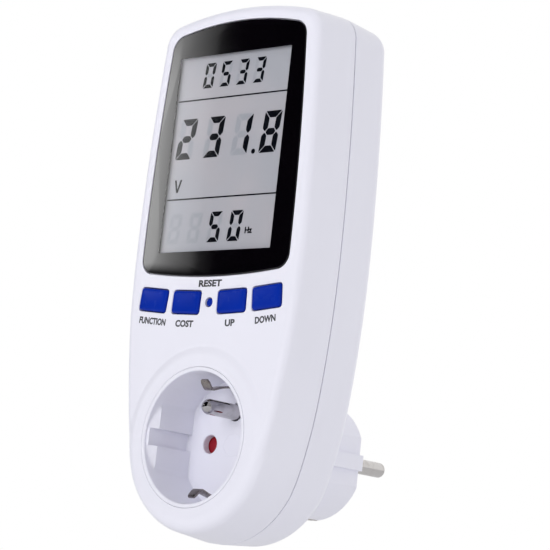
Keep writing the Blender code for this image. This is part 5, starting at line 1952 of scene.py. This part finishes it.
@dataclass
class Studio:
    """The floor, the light and the camera."""

    azimuth: float = 43.18
    elevation: float = -9.10
    roll: float = 6.22
    across: float = -24.96 * MM
    up: float = -48.32 * MM
    distance: float = 672.9 * MM
    lens: float = 147.6
    floor_z: float = -0.095
    card_size: float = 3.6
    card_distance: float = 1.5
    card_strength: float = 6.5
    card_glow: tuple[tuple[float, float], ...] = (
        (0.1, 0.0), (0.3, 1.0), (0.66, 0.92), (0.76, 0.49), (0.785, 0.4), (0.87, 0.2),
        (0.905, 0.14), (0.912, 0.02), (1.0, 0.0),
    )
    world_front: float = 0.45

    def camera(self) -> Vector:
        """Places the camera.

        Returns:
            Where it is.
        """
        a, e, r = (math.radians(v) for v in (self.azimuth, self.elevation, self.roll))
        back = Vector((math.sin(a) * math.cos(e), -math.cos(a) * math.cos(e), math.sin(e)))
        side = Vector((math.cos(a), math.sin(a), 0.0))
        top = back.cross(side)
        right = side * math.cos(r) + top * math.sin(r)
        above = top * math.cos(r) - side * math.sin(r)
        place = back * self.distance - right * self.across - above * self.up
        place.y += CaseForm.rim_y
        data = bpy.data.cameras.new("camera")
        data.lens, data.sensor_width = self.lens, 36.0
        data.clip_start, data.clip_end = 0.01, 50.0
        camera = bpy.data.objects.new("camera", data)
        turn = Matrix((right, above, back)).transposed().to_4x4()
        camera.matrix_world = Matrix.Translation(place) @ turn
        bpy.context.scene.collection.objects.link(camera)
        bpy.context.scene.camera = camera
        return place

    def reflected_card(self, eye: Vector) -> None:
        """A card that only reflections see: dark, with a lamp's glow growing at its left.

        Args:
            eye: where the camera is.
        """
        face_y = CaseForm.face_y
        behind = Vector((eye.x, 2 * face_y - eye.y, eye.z))
        target = Vector((0.0, face_y, 89 * MM))
        away = (target - behind).normalized()
        across = Vector((0, 0, 1)).cross(away).normalized()
        frame_turn = Matrix((across, away.cross(across), away)).transposed().to_4x4()
        bm = bmesh.new()
        bmesh.ops.create_grid(bm, x_segments=2, y_segments=2, size=self.card_size / 2)
        mesh = bpy.data.meshes.new("reflected_card")
        bm.to_mesh(mesh)
        bm.free()
        card = bpy.data.objects.new("reflected_card", mesh)
        card.matrix_world = Matrix.Translation(target + away * self.card_distance) @ frame_turn
        bench = Bench("card_glow")
        bench.tree.nodes.remove(bench.shader)
        spot = bench.add("ShaderNodeSeparateXYZ")
        bench.join(bench.place, spot.inputs["Vector"])
        share = bench.add("ShaderNodeMapRange", From_Min=-0.2, From_Max=0.0)
        bench.join(spot.outputs["X"], share.inputs["Value"])
        stops = [(place, (glow,) * 3) for place, glow in self.card_glow]
        fade = bench.add("ShaderNodeMapRange", From_Min=-0.15, From_Max=-0.13,
                         To_Max=self.card_strength)
        bench.join(spot.outputs["Y"], fade.inputs["Value"])
        top = bench.add("ShaderNodeMapRange", From_Min=0.05, From_Max=0.22, To_Min=1.0, To_Max=0.0)
        bench.join(spot.outputs["Y"], top.inputs["Value"])
        strength = bench.add("ShaderNodeMath", operation="MULTIPLY")
        bench.join(fade.outputs["Result"], strength.inputs[0])
        bench.join(top.outputs["Result"], strength.inputs[1])
        emission = bench.add("ShaderNodeEmission")
        bench.join(bench.ramp(share.outputs["Result"], stops), emission.inputs["Color"])
        bench.join(strength.outputs["Value"], emission.inputs["Strength"])
        bench.join(emission.outputs["Emission"], bench.output.inputs["Surface"])
        mesh.materials.append(bench.material)
        for ray in ("camera", "diffuse", "transmission", "volume_scatter", "shadow"):
            setattr(card, f"visible_{ray}", False)
        bpy.context.scene.collection.objects.link(card)

    def light(self, lamp: Lamp) -> None:
        """Puts a lamp in the scene, hidden from the camera and from reflections.

        Args:
            lamp: the lamp.
        """
        data = bpy.data.lights.new(lamp.name, "AREA")
        data.shape, data.size, data.energy = "SQUARE", lamp.size, lamp.power
        made = bpy.data.objects.new(lamp.name, data)
        place, target = Vector(lamp.place), Vector(lamp.target)
        turn = (target - place).to_track_quat("-Z", "Y").to_matrix().to_4x4()
        made.matrix_world = Matrix.Translation(place) @ turn
        made.visible_camera = False
        made.visible_glossy = False
        bpy.context.scene.collection.objects.link(made)

    def floor(self) -> None:
        """A wide pale floor."""
        bm = bmesh.new()
        bmesh.ops.create_grid(bm, x_segments=1, y_segments=1, size=20.0)
        bmesh.ops.translate(bm, verts=bm.verts, vec=(0, 0, self.floor_z))
        mesh = bpy.data.meshes.new("floor")
        bm.to_mesh(mesh)
        bm.free()
        floor = bpy.data.objects.new("floor", mesh)
        finish = Moulding("floor_paint", Slot.WHITE, (0.88, 0.88, 0.89), 0.8, grain=2 * MM,
                          mottle=0.004)
        mesh.materials.append(finish.material())
        bpy.context.scene.collection.objects.link(floor)

    def build(self) -> None:
        """Makes the studio."""
        world = bpy.data.worlds.new("studio")
        world.use_nodes = True
        background = world.node_tree.nodes["Background"]
        background.inputs["Color"].default_value = (1.0, 1.0, 1.0, 1.0)
        background.inputs["Strength"].default_value = 1.0
        nodes, links = world.node_tree.nodes, world.node_tree.links
        spot = nodes.new("ShaderNodeSeparateXYZ")
        links.new(nodes.new("ShaderNodeTexCoord").outputs["Generated"], spot.inputs["Vector"])
        share = nodes.new("ShaderNodeMapRange")
        share.inputs["From Min"].default_value = -0.5
        share.inputs["From Max"].default_value = 0.5
        share.inputs["To Min"].default_value = self.world_front
        links.new(spot.outputs["Y"], share.inputs["Value"])
        links.new(share.outputs["Result"], background.inputs["Strength"])
        bpy.context.scene.world = world
        bpy.context.scene.view_settings.view_transform = "Standard"
        self.floor()
        for lamp in LAMPS:
            self.light(lamp)
        self.reflected_card(self.camera())


def main() -> None:
    """Builds the looks in order."""
    logging.basicConfig(level=logging.INFO, format="%(name)s %(message)s", stream=sys.stdout)
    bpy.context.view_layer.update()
    form, keys, plug = CaseForm(), KeyForm(), PlugForm()
    dress_frame_nodes()
    FrontCover(form, keys).build()
    RearCover(form, plug).build()
    Socket(form).build()
    Display(form).build()
    KeyPad(form, keys).build()
    PlugMetal(form, plug).build()
    Studio().build()


if __name__ == "__main__":
    main()
